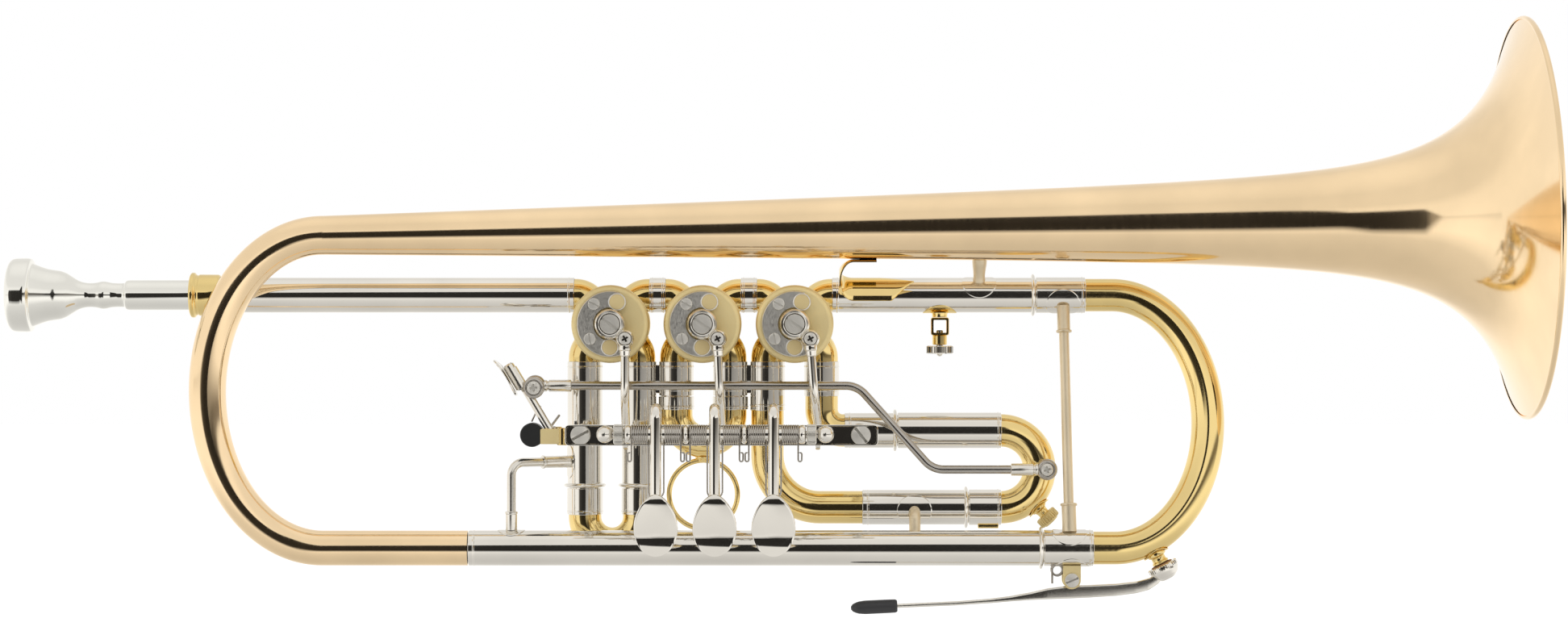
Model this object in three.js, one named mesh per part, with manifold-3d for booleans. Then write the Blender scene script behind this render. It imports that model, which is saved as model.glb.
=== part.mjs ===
// A B flat trumpet with three rotary valves, a third-slide trigger and a water key.
// Millimetres, +Z up, +X towards the bell, +Y away from the player's keys.
// The origin is on the middle rotor's axis, in the plane of the valve ports.
import * as THREE from "three";
import { mergeVertices } from "three/addons/utils/BufferGeometryUtils.js";
import Module from "manifold-3d";

const wasm = await Module();
wasm.setup();

// Tubes and fits
const tubeOuter = 11.6;
const tubeWall = 0.5;
const sleeveOuter = 12.4;
const sleeveWall = 0.35;
const slideClearance = 0.3;
const legWall = 0.35;
const ferruleOuter = 12.7;
const ferruleLap = 1.5;
const beadOuter = 14.3;
const beadWidth = 1.5;
const seat = 0.3;
const pinClearance = 0.3;
const overrun = 1;
const weldTolerance = 0.0005;
const simplifyTolerance = 0.02;
const edgeRound = 0.6;

// Air path in the port plane
const valveSpacing = 32.3;
const lineOffset = 10.2;
const legOffset = 9.6;
const knuckleBend = 6.2;
const knuckleReach = 13;
const leadpipeLength = 130.2;
const outletLength = 71.8;
const bottomDepth = 14;
const bottomDrop = 88.7;

// Valve casings, caps and rotors
const casingOuter = 24;
const casingWall = 1.7;
const casingLength = 26;
const rotorClearance = 0.3;
const rotorLength = 24.8;
const passageWidth = 7;
const spindleRadius = 3;
const capOuter = 27.3;
const capFace = 3.4;
const capSkirt = 3;
const backCapOuter = 26;
const stopPlateRadius = 12;
const stopPlateHole = 5.6;
const stopPlateThickness = 1.5;
const bumperRadius = 2.7;
const bumperHeight = 0.3;
const bumperRing = 8.3;

// Stop arms and links
const crankX = 5.5;
const crankDrop = 5.1;
const armHubRadius = 5.2;
const armThickness = 2;
const armLugRadius = 2.6;
const studRadius = 1.3;
const eyeRadius = 3.2;
const eyeThickness = 3.6;
const linkRadius = 1.6;
const linkEndDepth = 14.7;
const linkEyeRadius = 2.9;
const linkEyeThickness = 1.6;
const linkPlay = 1;
const linkElbowDrop = 25;
const linkKneeRise = 3;
const linkLowerX = [5.4, 6.8, 8.15];

// Keys
const keySpacing = 20.2;
const middleKeyX = 4.76;
const axleDepth = 37;
const axleDrop = 38.03;
const axleRadius = 1.2;
const hubRadius = 2.3;
const hubHalf = 8.5;
const collarRadius = 3.3;
const collarWidth = 2.6;
const nutWidth = 3.4;
const nutRadius = 3.5;
const keyArmRadius = 1.9;
const keyArmHook = 3.3;
const keyArmRise = 2.6;
const keyArmDrop = 29.4;
const touchWidth = 15.5;
const touchHeight = 19.6;
const touchThickness = 1.6;
const touchDrop = 31.1;
const touchBack = 7.4;
const touchTaperShare = 0.12;
const rearReach = 23;
const rearSide = 9.8;
const rearRadius = 0.9;
const rearPinRadius = 0.8;
const rearPinSide = 2.4;
const rearPinReach = 3.4;
const keyRestDegrees = 8;

// Key springs
const springWire = 0.58;
const springRadius = 3.1;
const springPitch = 1.1;
const springCurls = 4.75;
const springSpread = 2.6;
const springTurn = 1.6;
const springLeg = 14.7;
const springHook = 7;

// Key rail
const railLeftLip = 5.3;
const railRightLip = 5.9;
const railHeight = 7.2;
const railFront = 33.3;
const railDepth = 3.3;
const railWall = 0.8;
const railDrop = 38.4;
const railSlotWidth = 3.4;
const railSlotFoot = 2.6;
const lugRadius = 2.5;
const lugStem = 2;
const postRadius = 2.1;
const postFoot = 3.2;
const postFootThickness = 0.8;
const rightPostInset = 5.2;
const leftLugGap = 3.06;
const rightLugGap = 3.14;
const axleTuck = 1.2;

// Slides
const firstSleeveLength = 44.5;
const secondSleeveLength = 12;
const firstFerrule = 9.6;
const firstBowDrop = 68.2;
const secondBowDrop = 32;
const secondFerrule = 5;
const firstLegLength = 36;
const secondLegLength = 10.4;
const pullRingRadius = 12.1;
const pullRingWire = 0.85;
const thirdLeftSleeve = 17.3;
const thirdRightSleeve = 12.2;
const thirdUpperDrop = 37.7;
const thirdLowerDrop = 64.9;
const thirdUpperBend = 7.4;
const thirdLowerBend = 18.6;
const thirdUpperElbowEnd = 0.7;
const thirdUpperSleeveLength = 18.6;
const thirdLowerElbowEnd = 15;
const thirdLowerSleeveLength = 37.4;
const thirdUpperFerrule = 36.8;
const thirdLegLength = 15;
const thirdLowerLegLength = 30;
const bridgeHeight = 10;
const bridgeDepth = 5;
const bridgeTop = 1.2;
const drainRadius = 1.9;
const drainLength = 3;
const drainCapRadius = 3.1;
const drainCapLength = 3.2;
const thirdDrainDegrees = 52;
const sleevePostAlong = 18.3;

// Trigger
const rodDepth = 9.2;
const rodRadius = 1.65;
const rodStudSet = 6.57;
const rodDrop = 21.7;
const rodBendPast = 0.3;
const rodBend = 9;
const rodBendDegrees = 48;
const rodEndPast = 15.7;
const rodEndDrop = 51.2;
const rodEyeRadius = 3.8;
const rodEyeThickness = 3;
const rodSocketRadius = 2.1;
const rodSocketLength = 9;
const bossRadius = 2.4;
const triggerSet = 10.5;
const triggerDrop = 38.8;
const triggerDepth = 14.4;
const triggerThickness = 2.6;
const triggerHubRadius = 3;
const triggerLugRadius = 2.4;
const triggerPinRadius = 1.2;
const triggerPlay = 1.1;
const triggerEyeLift = 0.6;
const triggerArmX = 14.6;
const triggerArmRise = 24.4;
const triggerArmWidth = 2.8;
const thumbLength = 14.5;
const thumbWidth = 12;
const thumbThickness = 1.5;
const thumbSetX = 1.45;
const thumbSetZ = 4.25;
const triggerPinEnd = 0.5;
const bracketWidth = 6.2;
const bracketHeight = 5.6;
const bracketDepth = 5;
const bracketFootRadius = 1.7;
const stopDiscRadius = 4.2;
const stopDiscThickness = 4;
const stopDiscSet = 7;

// Bell
const rimX = 287.4;
const rimBead = 1.1;
const bellWall = 0.6;
const bowSet = 42.6;
const bowReach = 40.4;
const bellRise = 31.1;
const bellTilt = 0.83;
const stemRadius = 15.8;
const stemTaperShare = 0.0214;
const flareRise = 54.2;
const flareThroat = 55.2;
const flarePower = 3.25;
const flareStepPower = 2;
const bowInset = 0.25;
const bellTailLength = 51;
const bellTailRadius = 6.15;
const bowWall = 0.45;
const tailTubePast = 1.9;

// Tuning slide
const tuningFerruleLength = 17.7;
const tuningLowerLength = 17.6;
const tuningStraight = 9.5;
const tuningBowReach = 33.3;
const tuningLegLength = 36;
const tuningBraceAlong = 9.7;
const tuningBraceLean = 1.4;
const braceRadius = 1.55;
const braceSocketRadius = 2.5;
const braceSocketLength = 9.5;
const flangeRadius = 4.5;
const flangeThickness = 0.8;
const braceUpperDepth = 5.2;
const braceLowerDepth = 16.6;
const nippleDegrees = 69;
const nippleRadius = 2.7;
const nippleLength = 3.4;

// Water key
const waterKeyAlong = 10;
const waterKeyDrop = 89.6;
const waterPostWidth = 6.2;
const waterPostGap = 5.2;
const waterPostCheek = 1.1;
const waterHubRadius = 2.6;
const waterPinRadius = 1;
const leverReach = 61.7;
const leverDrop = 9.4;
const leverMiddle = 24.9;
const leverMiddleDrop = 7.9;
const leverUnder = 4.4;
const leverFront = 26;
const leverFrontDrop = 1.4;
const cupInset = 1.2;
const leverThickness = 1.5;
const leverWidth = 3.4;
const cupRadius = 4.6;
const cupThickness = 4;
const tipLength = 15.5;
const tipRadius = 2.4;

// Braces and fittings
const bellBraceBack = 19.9;
const bellBraceRadius = 2.4;
const bellBraceFlange = 5.6;
const cornerBraceX = 67.6;
const cornerBraceDrop = 48.6;
const cornerBend = 4.5;
const lyreBack = 33.7;
const lyreBlock = 6.3;
const lyreHole = 4.5;
const lyreFlange = 6;
const lyreNeck = 2.2;
const lyreNeckLength = 3.4;
const lyreScrewRadius = 4.8;
const lyreScrewHead = 2.8;
const lyreShank = 1.2;
const cornerSocketLength = 7;
const hookAlong = 14.4;
const hookRoot = 7;
const hookLeafZ = 12;
const hookThickness = 1.1;
const hookWidth = 8;
const hookReach = 14.2;

// Mouthpiece and receiver
const receiverLength = 10.6;
const receiverRadius = 7.3;
const receiverRing = 8;
const receiverLap = 5.2;
const receiverRingWidth = 2;
const mouthpieceLength = 86.3;
const mouthpieceInsert = 22;
const mouthpieceRim = 13.15;
const cupDepth = 11.5;
const cupMouthRadius = 8.3;
const throatRadius = 1.85;
const boreEndRadius = 4.2;
const shankMouth = 5.3;
const shankEnd = 4.8;
const rimRound = 1;
const cupNeckShare = 0.45;
const cupBowlShare = 0.85;

// Mouthpiece outline from the rim to the receiver: shares of the visible length and of the rim radius
const outlineShares = [
  [0, 0.78],
  [0.045, 0.966],
  [0.089, 1],
  [0.134, 0.935],
  [0.177, 0.77],
  [0.265, 0.677],
  [0.311, 0.585],
  [0.356, 0.426],
  [0.4, 0.335],
  [0.445, 0.327],
  [0.49, 0.357],
  [0.535, 0.357],
  [0.622, 0.327],
  [0.644, 0.403],
];

// Angles of the stop plate and its bumpers, counterclockwise from +X
const stopPlateDegrees = [68, 300];
const bumperDegrees = [72, -90];

// Counts
const tubeSides = 10;
const boreSides = 6;
const roundSides = 16;
const capSides = 16;
const smallSides = 6;
const bellSides = 22;
const bellSteps = 10;
const bendSteps = 4;
const bowSteps = 8;
const ovalSteps = 12;
const curlSteps = 8;
const wireSides = 5;
const receiverSides = 12;
const curlSegments = 10;
const sphereRows = 3;

// Sizes that follow from the ones above
const tubeRadius = tubeOuter / 2;
const tubeBore = tubeRadius - tubeWall;
const sleeveRadius = sleeveOuter / 2;
const sleeveBore = sleeveRadius - sleeveWall;
const legRadius = sleeveBore - slideClearance;
const legBore = legRadius - legWall;
const ferruleRadius = ferruleOuter / 2;
const beadRadius = beadOuter / 2;
const casingRadius = casingOuter / 2;
const casingBore = casingRadius - casingWall;
const casingFace = casingLength / 2;
const rotorRadius = casingBore - rotorClearance;
const sleeveTop = -(knuckleReach + seat);
const capInside = casingFace + seat;
const capFront = capInside + capFace;
const capBack = casingFace - capSkirt;
const capRadius = capOuter / 2;
const backCapRadius = backCapOuter / 2;
const backBearing = capFront - edgeRound;
const plateBack = capFront + seat;
const bumperFront = plateBack + stopPlateThickness + bumperHeight;
const armBack = bumperFront + seat;
const armFront = armBack + armThickness;
const eyeBack = armFront + seat;
const eyeFront = eyeBack + eyeThickness;
const leadpipeEnd = -(valveSpacing + knuckleReach + seat);
const leadpipeStart = leadpipeEnd - leadpipeLength;
const outletStart = -leadpipeEnd;
const outletEnd = outletStart + outletLength;
const bowX = -leadpipeStart - bowSet;
const bellTailEnd = bowX - bellTailLength;
const tailTubeEnd = outletEnd + tailTubePast;
const tuningFerruleEnd = outletEnd + tuningFerruleLength;
const tuningLowerX = tailTubeEnd + tuningLowerLength;
const tuningBowX = tuningFerruleEnd + tuningStraight;
const tuningBraceX = outletEnd + tuningBraceAlong;
const waterKeyX = tailTubeEnd + waterKeyAlong;
const bellBraceX = outletEnd - bellBraceBack;
const lyreX = outletEnd - lyreBack;
const hookX = outletStart + hookAlong;
const firstLeftX = -valveSpacing - legOffset;
const thirdLeftX = valveSpacing - legOffset;
const thirdRightX = valveSpacing + legOffset;
const thirdUpperSleeveStart = thirdRightX + thirdUpperBend + thirdUpperElbowEnd;
const thirdUpperSleeveEnd = thirdUpperSleeveStart + thirdUpperSleeveLength;
const thirdLowerSleeveStart = thirdLeftX + thirdLowerBend + thirdLowerElbowEnd;
const thirdLowerSleeveEnd = thirdLowerSleeveStart + thirdLowerSleeveLength;
const thirdFerruleEnd = thirdUpperSleeveEnd + thirdUpperFerrule;
const sleevePostX = thirdLowerSleeveStart + sleevePostAlong;
const triggerX = triggerSet - firstLeftX;
const rodLeft = triggerX + rodStudSet;
const rodBendStart = thirdUpperSleeveStart + rodBendPast;
const rodEndX = thirdFerruleEnd + rodEndPast;
const bottomZ = lineOffset - bottomDrop;
const keyRest = THREE.MathUtils.degToRad(keyRestDegrees);
const rearPinZ = -axleDrop - rearReach * Math.sin(keyRest);
const linkEyeBore = rearPinRadius + linkPlay;
const firstHubStart = middleKeyX - keySpacing - hubHalf - collarWidth;
const lastHubEnd = middleKeyX + keySpacing + hubHalf + collarWidth;
const leftLugX = seat + nutWidth + leftLugGap - firstHubStart;
const rightLugX = lastHubEnd + seat + nutWidth + rightLugGap;
const leftPostX = -firstLeftX;
const rightPostX = thirdUpperSleeveStart + rightPostInset;
const railLeft = leftPostX + railLeftLip;
const railRight = rightPostX + railRightLip;
const spacerWidth = keySpacing - 2 * hubHalf - 2 * seat;
const triggerFront = triggerDepth + triggerThickness;
const rightAngle = Math.PI / 2;
const X = new THREE.Vector3(1, 0, 0);
const Y = new THREE.Vector3(0, 1, 0);
const Z = new THREE.Vector3(0, 0, 1);
const down = new THREE.Vector3(0, 0, -1);
const rodEnd = new THREE.Vector3(rodEndX, 0, -rodEndDrop);

// Finishes
const goldBrass = new THREE.MeshStandardMaterial({ color: 0xe9bd82, roughness: 0.14, metalness: 1 });
const yellowBrass = new THREE.MeshStandardMaterial({ color: 0xdcb155, roughness: 0.16, metalness: 1 });
const mattBrass = new THREE.MeshStandardMaterial({ color: 0xc9ad62, roughness: 0.4, metalness: 1 });
const nickelSilver = new THREE.MeshStandardMaterial({ color: 0xcfcac2, roughness: 0.14, metalness: 1 });
const steel = new THREE.MeshStandardMaterial({ color: 0xa9a6a1, roughness: 0.24, metalness: 1 });
const silverPlate = new THREE.MeshStandardMaterial({ color: 0xe8e9ec, roughness: 0.1, metalness: 1 });
const rubber = new THREE.MeshStandardMaterial({ color: 0x1c1c1e, roughness: 0.7, metalness: 0 });

// Turns a closed three.js geometry into a solid, its faces pointing out.
function solidOf(geometry) {
  const bare = geometry.clone();
  bare.deleteAttribute("normal");
  bare.deleteAttribute("uv");
  const merged = mergeVertices(bare, weldTolerance);
  const corners = merged.index.array;
  const kept = [];
  for (let i = 0; i < corners.length; i += 3) {
    const [a, b, c] = corners.slice(i, i + 3);
    if (a !== b && b !== c && c !== a) kept.push(a, b, c);
  }
  const vertProperties = merged.attributes.position.array;
  const build = (faces) =>
    new wasm.Manifold(new wasm.Mesh({ numProp: 3, vertProperties, triVerts: new Uint32Array(faces) }));
  const made = build(kept);
  return made.volume() < 0 ? build(kept.reverse()) : made;
}

// Turns a solid back into a three.js geometry.
function geometryOf(solid) {
  const mesh = solid.simplify(simplifyTolerance).getMesh();
  const geometry = new THREE.BufferGeometry();
  geometry.setAttribute("position", new THREE.BufferAttribute(new Float32Array(mesh.vertProperties), 3));
  geometry.setIndex(new THREE.BufferAttribute(new Uint32Array(mesh.triVerts), 1));
  geometry.computeVertexNormals();
  return geometry;
}

function at(x, y, z) {
  return new THREE.Vector3(x, y, z);
}

function join(...solids) {
  return solids.reduce((whole, next) => whole.add(next));
}

function cut(solid, ...tools) {
  return tools.reduce((whole, tool) => whole.subtract(tool), solid);
}

// A centreline walked like a road: straight stretches, bends and curves, with a station at each ring.
class Route extends THREE.Curve {
  constructor(start, heading) {
    super();
    this.point = start.clone();
    this.heading = heading.clone().normalize();
    this.stations = [];
    this.mark(1);
  }

  mark(scale) {
    this.stations.push({ point: this.point.clone(), heading: this.heading.clone(), scale });
  }

  straight(length) {
    this.point.addScaledVector(this.heading, length);
    this.mark(this.stations[this.stations.length - 1].scale);
    return this;
  }

  bend(radius, axis, angle, steps) {
    const inward = axis.clone().cross(this.heading).multiplyScalar(radius);
    const centre = this.point.clone().add(inward);
    const arm = inward.negate();
    const from = this.heading.clone();
    for (let i = 1; i <= steps; i++) {
      const turn = (angle * i) / steps;
      this.point.copy(centre).add(arm.clone().applyAxisAngle(axis, turn));
      this.heading.copy(from).applyAxisAngle(axis, turn);
      this.mark(1);
    }
    return this;
  }

  // Goes straight to a point, where the route turns towards the next one.
  corner(point, next, scale) {
    const coming = point.clone().sub(this.point).normalize();
    this.point = point.clone();
    this.heading = next.clone().sub(point).normalize().add(coming).normalize();
    this.mark(scale);
    return this;
  }

  // Follows a formula from share 0 to 1; scaleAt gives the section's size along the way.
  follow(pointAt, steps, scaleAt = () => 1) {
    const smallShare = 0.001;
    for (let i = 1; i <= steps; i++) {
      const share = i / steps;
      this.point = pointAt(share);
      this.heading = pointAt(share + smallShare).sub(pointAt(share - smallShare)).normalize();
      this.mark(scaleAt(share));
    }
    return this;
  }

  stationAt(share) {
    return this.stations[Math.round(share * (this.stations.length - 1))];
  }

  getPointAt(share) {
    return this.stationAt(share).point.clone();
  }

  getTangentAt(share) {
    return this.stationAt(share).heading.clone();
  }

  computeFrenetFrames(steps, closed) {
    const frames = super.computeFrenetFrames(steps, closed);
    frames.normals.forEach((normal, i) => normal.multiplyScalar(this.stations[i].scale));
    frames.binormals.forEach((binormal, i) => binormal.multiplyScalar(this.stations[i].scale));
    return frames;
  }
}

// The corners of a regular polygon that stands for a circle.
function circle(radius, sides) {
  const corner = (i) => {
    const turn = (2 * Math.PI * i) / sides;
    return new THREE.Vector2(radius * Math.cos(turn), radius * Math.sin(turn));
  };
  return Array.from({ length: sides }, (_, i) => corner(i));
}

// A tube or rod along a route.
function pipe(route, radius, bore = 0, sides = tubeSides, innerSides = boreSides) {
  const section = new THREE.Shape(circle(radius, sides));
  if (bore > 0) section.holes.push(new THREE.Path(circle(bore, innerSides)));
  const steps = route.stations.length - 1;
  return solidOf(new THREE.ExtrudeGeometry(section, { steps, extrudePath: route }));
}

// A straight rod or tube between two points.
function rod(from, to, radius, sides = smallSides) {
  const route = new Route(from, to.clone().sub(from));
  route.straight(from.distanceTo(to));
  return pipe(route, radius, 0, sides);
}

// Lays a geometry that was made along +Y along another direction.
function aim(geometry, direction) {
  return geometry.applyQuaternion(new THREE.Quaternion().setFromUnitVectors(Y, direction));
}

// A turned solid: profile points are [radius, distance along the axis]. It starts and ends on the axis,
// or goes round and closes on itself.
function turned(profile, direction, sides = tubeSides) {
  const points = profile.map(([radius, along]) => new THREE.Vector2(radius, along));
  if (profile[0][0] > 0) points.push(points[0].clone());
  return solidOf(aim(new THREE.LatheGeometry(points, sides), direction));
}

// A plain cylinder from one distance to another along a direction, round a centre.
function disc(radius, from, to, direction, centre = at(0, 0, 0), sides = roundSides) {
  const geometry = new THREE.CylinderGeometry(radius, radius, to - from, sides);
  geometry.translate(0, (from + to) / 2, 0);
  aim(geometry, direction);
  geometry.translate(centre.x, centre.y, centre.z);
  return solidOf(geometry);
}

function block(width, depth, height, centre) {
  const geometry = new THREE.BoxGeometry(width, depth, height);
  geometry.translate(centre.x, centre.y, centre.z);
  return solidOf(geometry);
}

function ball(radius, centre) {
  const geometry = new THREE.SphereGeometry(radius, smallSides, sphereRows);
  geometry.translate(centre.x, centre.y, centre.z);
  return solidOf(geometry);
}

// An outer slide sleeve that runs from zero along a direction, with a bead round its mouth at the end.
function sleeve(length, direction) {
  const mouth = length - beadWidth;
  const profile = [
    [sleeveBore, 0],
    [sleeveRadius, 0],
    [sleeveRadius, mouth],
    [beadRadius, mouth + beadWidth / 3],
    [beadRadius, length - beadWidth / 3],
    [sleeveRadius, length],
    [sleeveBore, length],
  ];
  return turned(profile, direction);
}

function plainTube(radius, bore, length, direction) {
  const profile = [
    [bore, 0],
    [radius, 0],
    [radius, length],
    [bore, length],
  ];
  return turned(profile, direction);
}

// The inner leg of a slide with the ferrule that joins it to its bow. The leg reaches back from zero,
// the ferrule runs forward.
function slideLeg(legLength, ferruleLength, direction) {
  const profile = [
    [legBore, -legLength],
    [legRadius, -legLength],
    [legRadius, seat],
    [ferruleRadius, seat],
    [ferruleRadius, ferruleLength],
    [legBore, ferruleLength],
  ];
  return turned(profile, direction);
}

// A soldered foot: a thin round flange with a socket on it, from a point along a direction.
function foot(from, direction, radius, length, flange = flangeRadius) {
  const along = direction.clone().normalize();
  const lip = from.clone().addScaledVector(along, flangeThickness);
  const end = from.clone().addScaledVector(along, length);
  return join(rod(from, lip, flange, tubeSides), rod(from, end, radius));
}

const trumpet = new THREE.Group();

// Adds one named piece to its group, at its place.
function piece(name, solid, material, group = trumpet, place = at(0, 0, 0)) {
  const mesh = new THREE.Mesh(geometryOf(solid), material);
  mesh.name = name;
  mesh.position.copy(place);
  group.add(mesh);
}

function groupAt(place) {
  const group = new THREE.Group();
  group.position.copy(place);
  trumpet.add(group);
  return group;
}

// Valve casing: a drilled cylinder with four knuckles that leave on the diagonals and turn to the
// main line above and to the slide legs below.
function valveCasing() {
  const spread = Math.SQRT1_2;
  const lift = knuckleBend * (1 - spread);
  const inner = casingBore - overrun;
  const knuckle = (side, up, extra) => {
    const heading = at(side, 0, up).normalize();
    const offset = up > 0 ? lineOffset : legOffset;
    const bendStart = (offset - lift) / spread;
    const bendEnd = offset - lift + knuckleBend * spread;
    const route = new Route(heading.clone().multiplyScalar(inner), heading);
    route.straight(bendStart - inner);
    route.bend(knuckleBend, Y.clone().multiplyScalar(side), Math.PI / 4, 2);
    route.straight(knuckleReach - bendEnd + extra);
    return route;
  };
  let body = disc(casingRadius, -casingFace, casingFace, Y);
  const bores = [disc(casingBore, -casingFace - overrun, casingFace + overrun, Y)];
  for (const side of [-1, 1]) {
    for (const up of [-1, 1]) {
      body = body.add(pipe(knuckle(side, up, 0), tubeRadius));
      bores.push(pipe(knuckle(side, up, overrun), tubeBore, 0, boreSides));
    }
  }
  return cut(body, ...bores);
}

// Rotor: a cylinder with two oval air passages that each join two neighbouring ports, and a spindle.
function rotor() {
  const body = disc(rotorRadius, -rotorLength / 2, rotorLength / 2, Y);
  const bodyEnd = rotorLength / 2 - overrun;
  const frontEnd = seat - armBack;
  const front = disc(spindleRadius, frontEnd, -bodyEnd, Y, at(0, 0, 0), smallSides);
  const back = disc(spindleRadius, bodyEnd, backBearing, Y, at(0, 0, 0), smallSides);
  const passage = (side) => {
    const ring = new THREE.TorusGeometry(rotorRadius, passageWidth / 2, boreSides, capSides);
    ring.rotateX(rightAngle);
    ring.scale(1, (2 * tubeBore) / passageWidth, 1);
    ring.translate(0, 0, side * rotorRadius * Math.SQRT2);
    return solidOf(ring);
  };
  return join(cut(body, passage(1), passage(-1)), front, back);
}

// Front cap: a face with a hole for the spindle and a skirt round the casing's edge.
function frontCap() {
  const hole = spindleRadius + pinClearance;
  const profile = [
    [hole, capInside],
    [hole, capFront],
    [capRadius - edgeRound, capFront],
    [capRadius, capFront - edgeRound],
    [capRadius, capBack],
    [casingRadius + pinClearance, capBack],
    [casingRadius + pinClearance, capInside],
  ];
  return turned(profile, Y.clone().negate(), capSides);
}

// Back cap: a screwed cover with a blind bearing for the spindle.
function backCap() {
  const hole = spindleRadius + pinClearance;
  const bottom = backBearing + seat;
  const profile = [
    [0, bottom + edgeRound],
    [backCapRadius - edgeRound, bottom + edgeRound],
    [backCapRadius, bottom],
    [backCapRadius, capBack],
    [casingRadius + pinClearance, capBack],
    [casingRadius + pinClearance, capInside],
    [hole, capInside],
    [hole, bottom],
    [0, bottom],
  ];
  return turned(profile, Y, capSides);
}

// Stop plate: a crescent on the left half of the cap, with two round bumpers.
function stopPlate() {
  const shape = new THREE.Shape();
  const [from, to] = stopPlateDegrees.map(THREE.MathUtils.degToRad);
  shape.absarc(0, 0, stopPlateRadius, from, to, false);
  shape.absarc(0, 0, stopPlateHole, to, from, true);
  const depth = stopPlateThickness;
  const options = { depth, bevelEnabled: false, curveSegments: tubeSides };
  const geometry = new THREE.ExtrudeGeometry(shape, options);
  geometry.rotateX(rightAngle);
  geometry.translate(0, -plateBack, 0);
  const bumpers = bumperDegrees.map((degrees) => {
    const turn = THREE.MathUtils.degToRad(degrees);
    const centre = at(bumperRing * Math.cos(turn), 0, bumperRing * Math.sin(turn));
    return disc(bumperRadius, -bumperFront, -plateBack, Y, centre, smallSides);
  });
  return join(solidOf(geometry), ...bumpers);
}

// Stop arm: a hub on the spindle's end, a lug and the stud that the link turns on.
function stopArm() {
  const lug = at(crankX, 0, -crankDrop);
  const hub = disc(armHubRadius, -armFront, -armBack, Y);
  const knob = disc(armLugRadius, -armFront, -armBack, Y, lug, smallSides);
  const stud = disc(studRadius, -eyeFront, -armFront + edgeRound, Y, lug, smallSides);
  const web = new THREE.BoxGeometry(Math.hypot(crankX, crankDrop), armThickness, armLugRadius * 2);
  web.rotateY(Math.atan2(crankDrop, crankX));
  web.translate(crankX / 2, -(armBack + armThickness / 2), -crankDrop / 2);
  return join(hub, knob, solidOf(web), stud);
}

// Link: an eye on the stud, a rod that runs down and slants back, and a thin eye with play round the
// key lever's cross pin.
function link(lowerX) {
  const upper = at(crankX, 0, -crankDrop);
  const bore = studRadius + pinClearance;
  const eye = cut(
    disc(eyeRadius, -eyeFront, -eyeBack, Y, upper),
    disc(bore, -eyeFront - overrun, -eyeBack + overrun, Y, upper, smallSides),
  );
  const depth = -(eyeBack + eyeThickness / 2);
  const lower = at(lowerX, -linkEndDepth, rearPinZ);
  const top = at(crankX, depth, -crankDrop - (eyeRadius + bore) / 2);
  const elbow = at((crankX + lowerX) / 2, depth, -linkElbowDrop);
  const knee = at(lowerX, -linkEndDepth, rearPinZ + linkEyeRadius + linkKneeRise);
  const neck = at(lowerX, -linkEndDepth, rearPinZ + (linkEyeRadius + linkEyeBore) / 2);
  const route = new Route(top, elbow.clone().sub(top));
  route.corner(elbow, knee, 1);
  route.corner(knee, neck, 1);
  route.corner(neck, neck.clone().add(down), linkEyeThickness / 2 / linkRadius);
  const shank = pipe(route, linkRadius, 0, smallSides);
  const lowerEye = cut(
    disc(linkEyeRadius, -linkEyeThickness / 2, linkEyeThickness / 2, X, lower, tubeSides),
    disc(linkEyeBore, -linkEyeThickness, linkEyeThickness, X, lower, tubeSides),
  );
  return join(eye, shank, lowerEye);
}

// The touch of a key: an egg-shaped plate, wider above the middle than below.
function keyTouch() {
  const count = capSides;
  const outline = Array.from({ length: count }, (_, i) => {
    const turn = (2 * Math.PI * i) / count;
    const width = (touchWidth / 2) * (1 - touchTaperShare * Math.cos(turn));
    return new THREE.Vector2(width * Math.sin(turn), (touchHeight / 2) * Math.cos(turn));
  });
  const depth = touchThickness;
  const plate = new THREE.ExtrudeGeometry(new THREE.Shape(outline), { depth, bevelEnabled: false });
  plate.rotateX(rightAngle);
  plate.translate(0, -touchBack, -touchDrop);
  return solidOf(plate);
}

// Key lever: a hub on the axle, a hooked arm over it to the touch, and a rear arm with a cross pin
// that lifts the link. Here the axle is the X axis and the front arm stands at zero.
function keyLever(hubFrom, hubTo, collarAt, rearX, elbowX) {
  const pinX = elbowX + rearPinSide;
  const hub = disc(hubRadius, hubFrom, hubTo, X, at(0, 0, 0), tubeSides);
  const start = hubRadius - edgeRound;
  const route = new Route(at(0, 0, start), Z);
  route.straight(keyArmRise);
  route.bend(keyArmHook, X, Math.PI, bendSteps);
  route.straight(start + keyArmRise + keyArmDrop);
  const arm = pipe(route, keyArmRadius, 0, smallSides);
  const pinY = rearReach * Math.cos(keyRest);
  const pinZ = -rearReach * Math.sin(keyRest);
  const elbow = at(elbowX, pinY, pinZ);
  const wallY = (hubRadius + axleRadius + pinClearance) / 2;
  const rear = rod(at(rearX, wallY, -wallY * Math.tan(keyRest)), elbow, rearRadius);
  const from = -rearPinSide - rearRadius;
  const pin = disc(rearPinRadius, from, rearPinReach, X, at(pinX, pinY, pinZ), smallSides);
  const solids = [hub, arm, keyTouch(), rear, pin];
  if (collarAt !== undefined) {
    solids.push(disc(collarRadius, collarAt, collarAt + collarWidth, X, at(0, 0, 0), tubeSides));
  }
  const boreRadius = axleRadius + pinClearance;
  const bore = disc(boreRadius, hubFrom - overrun, hubTo + overrun, X, at(0, 0, 0), smallSides);
  return cut(join(...solids), bore);
}

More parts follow.
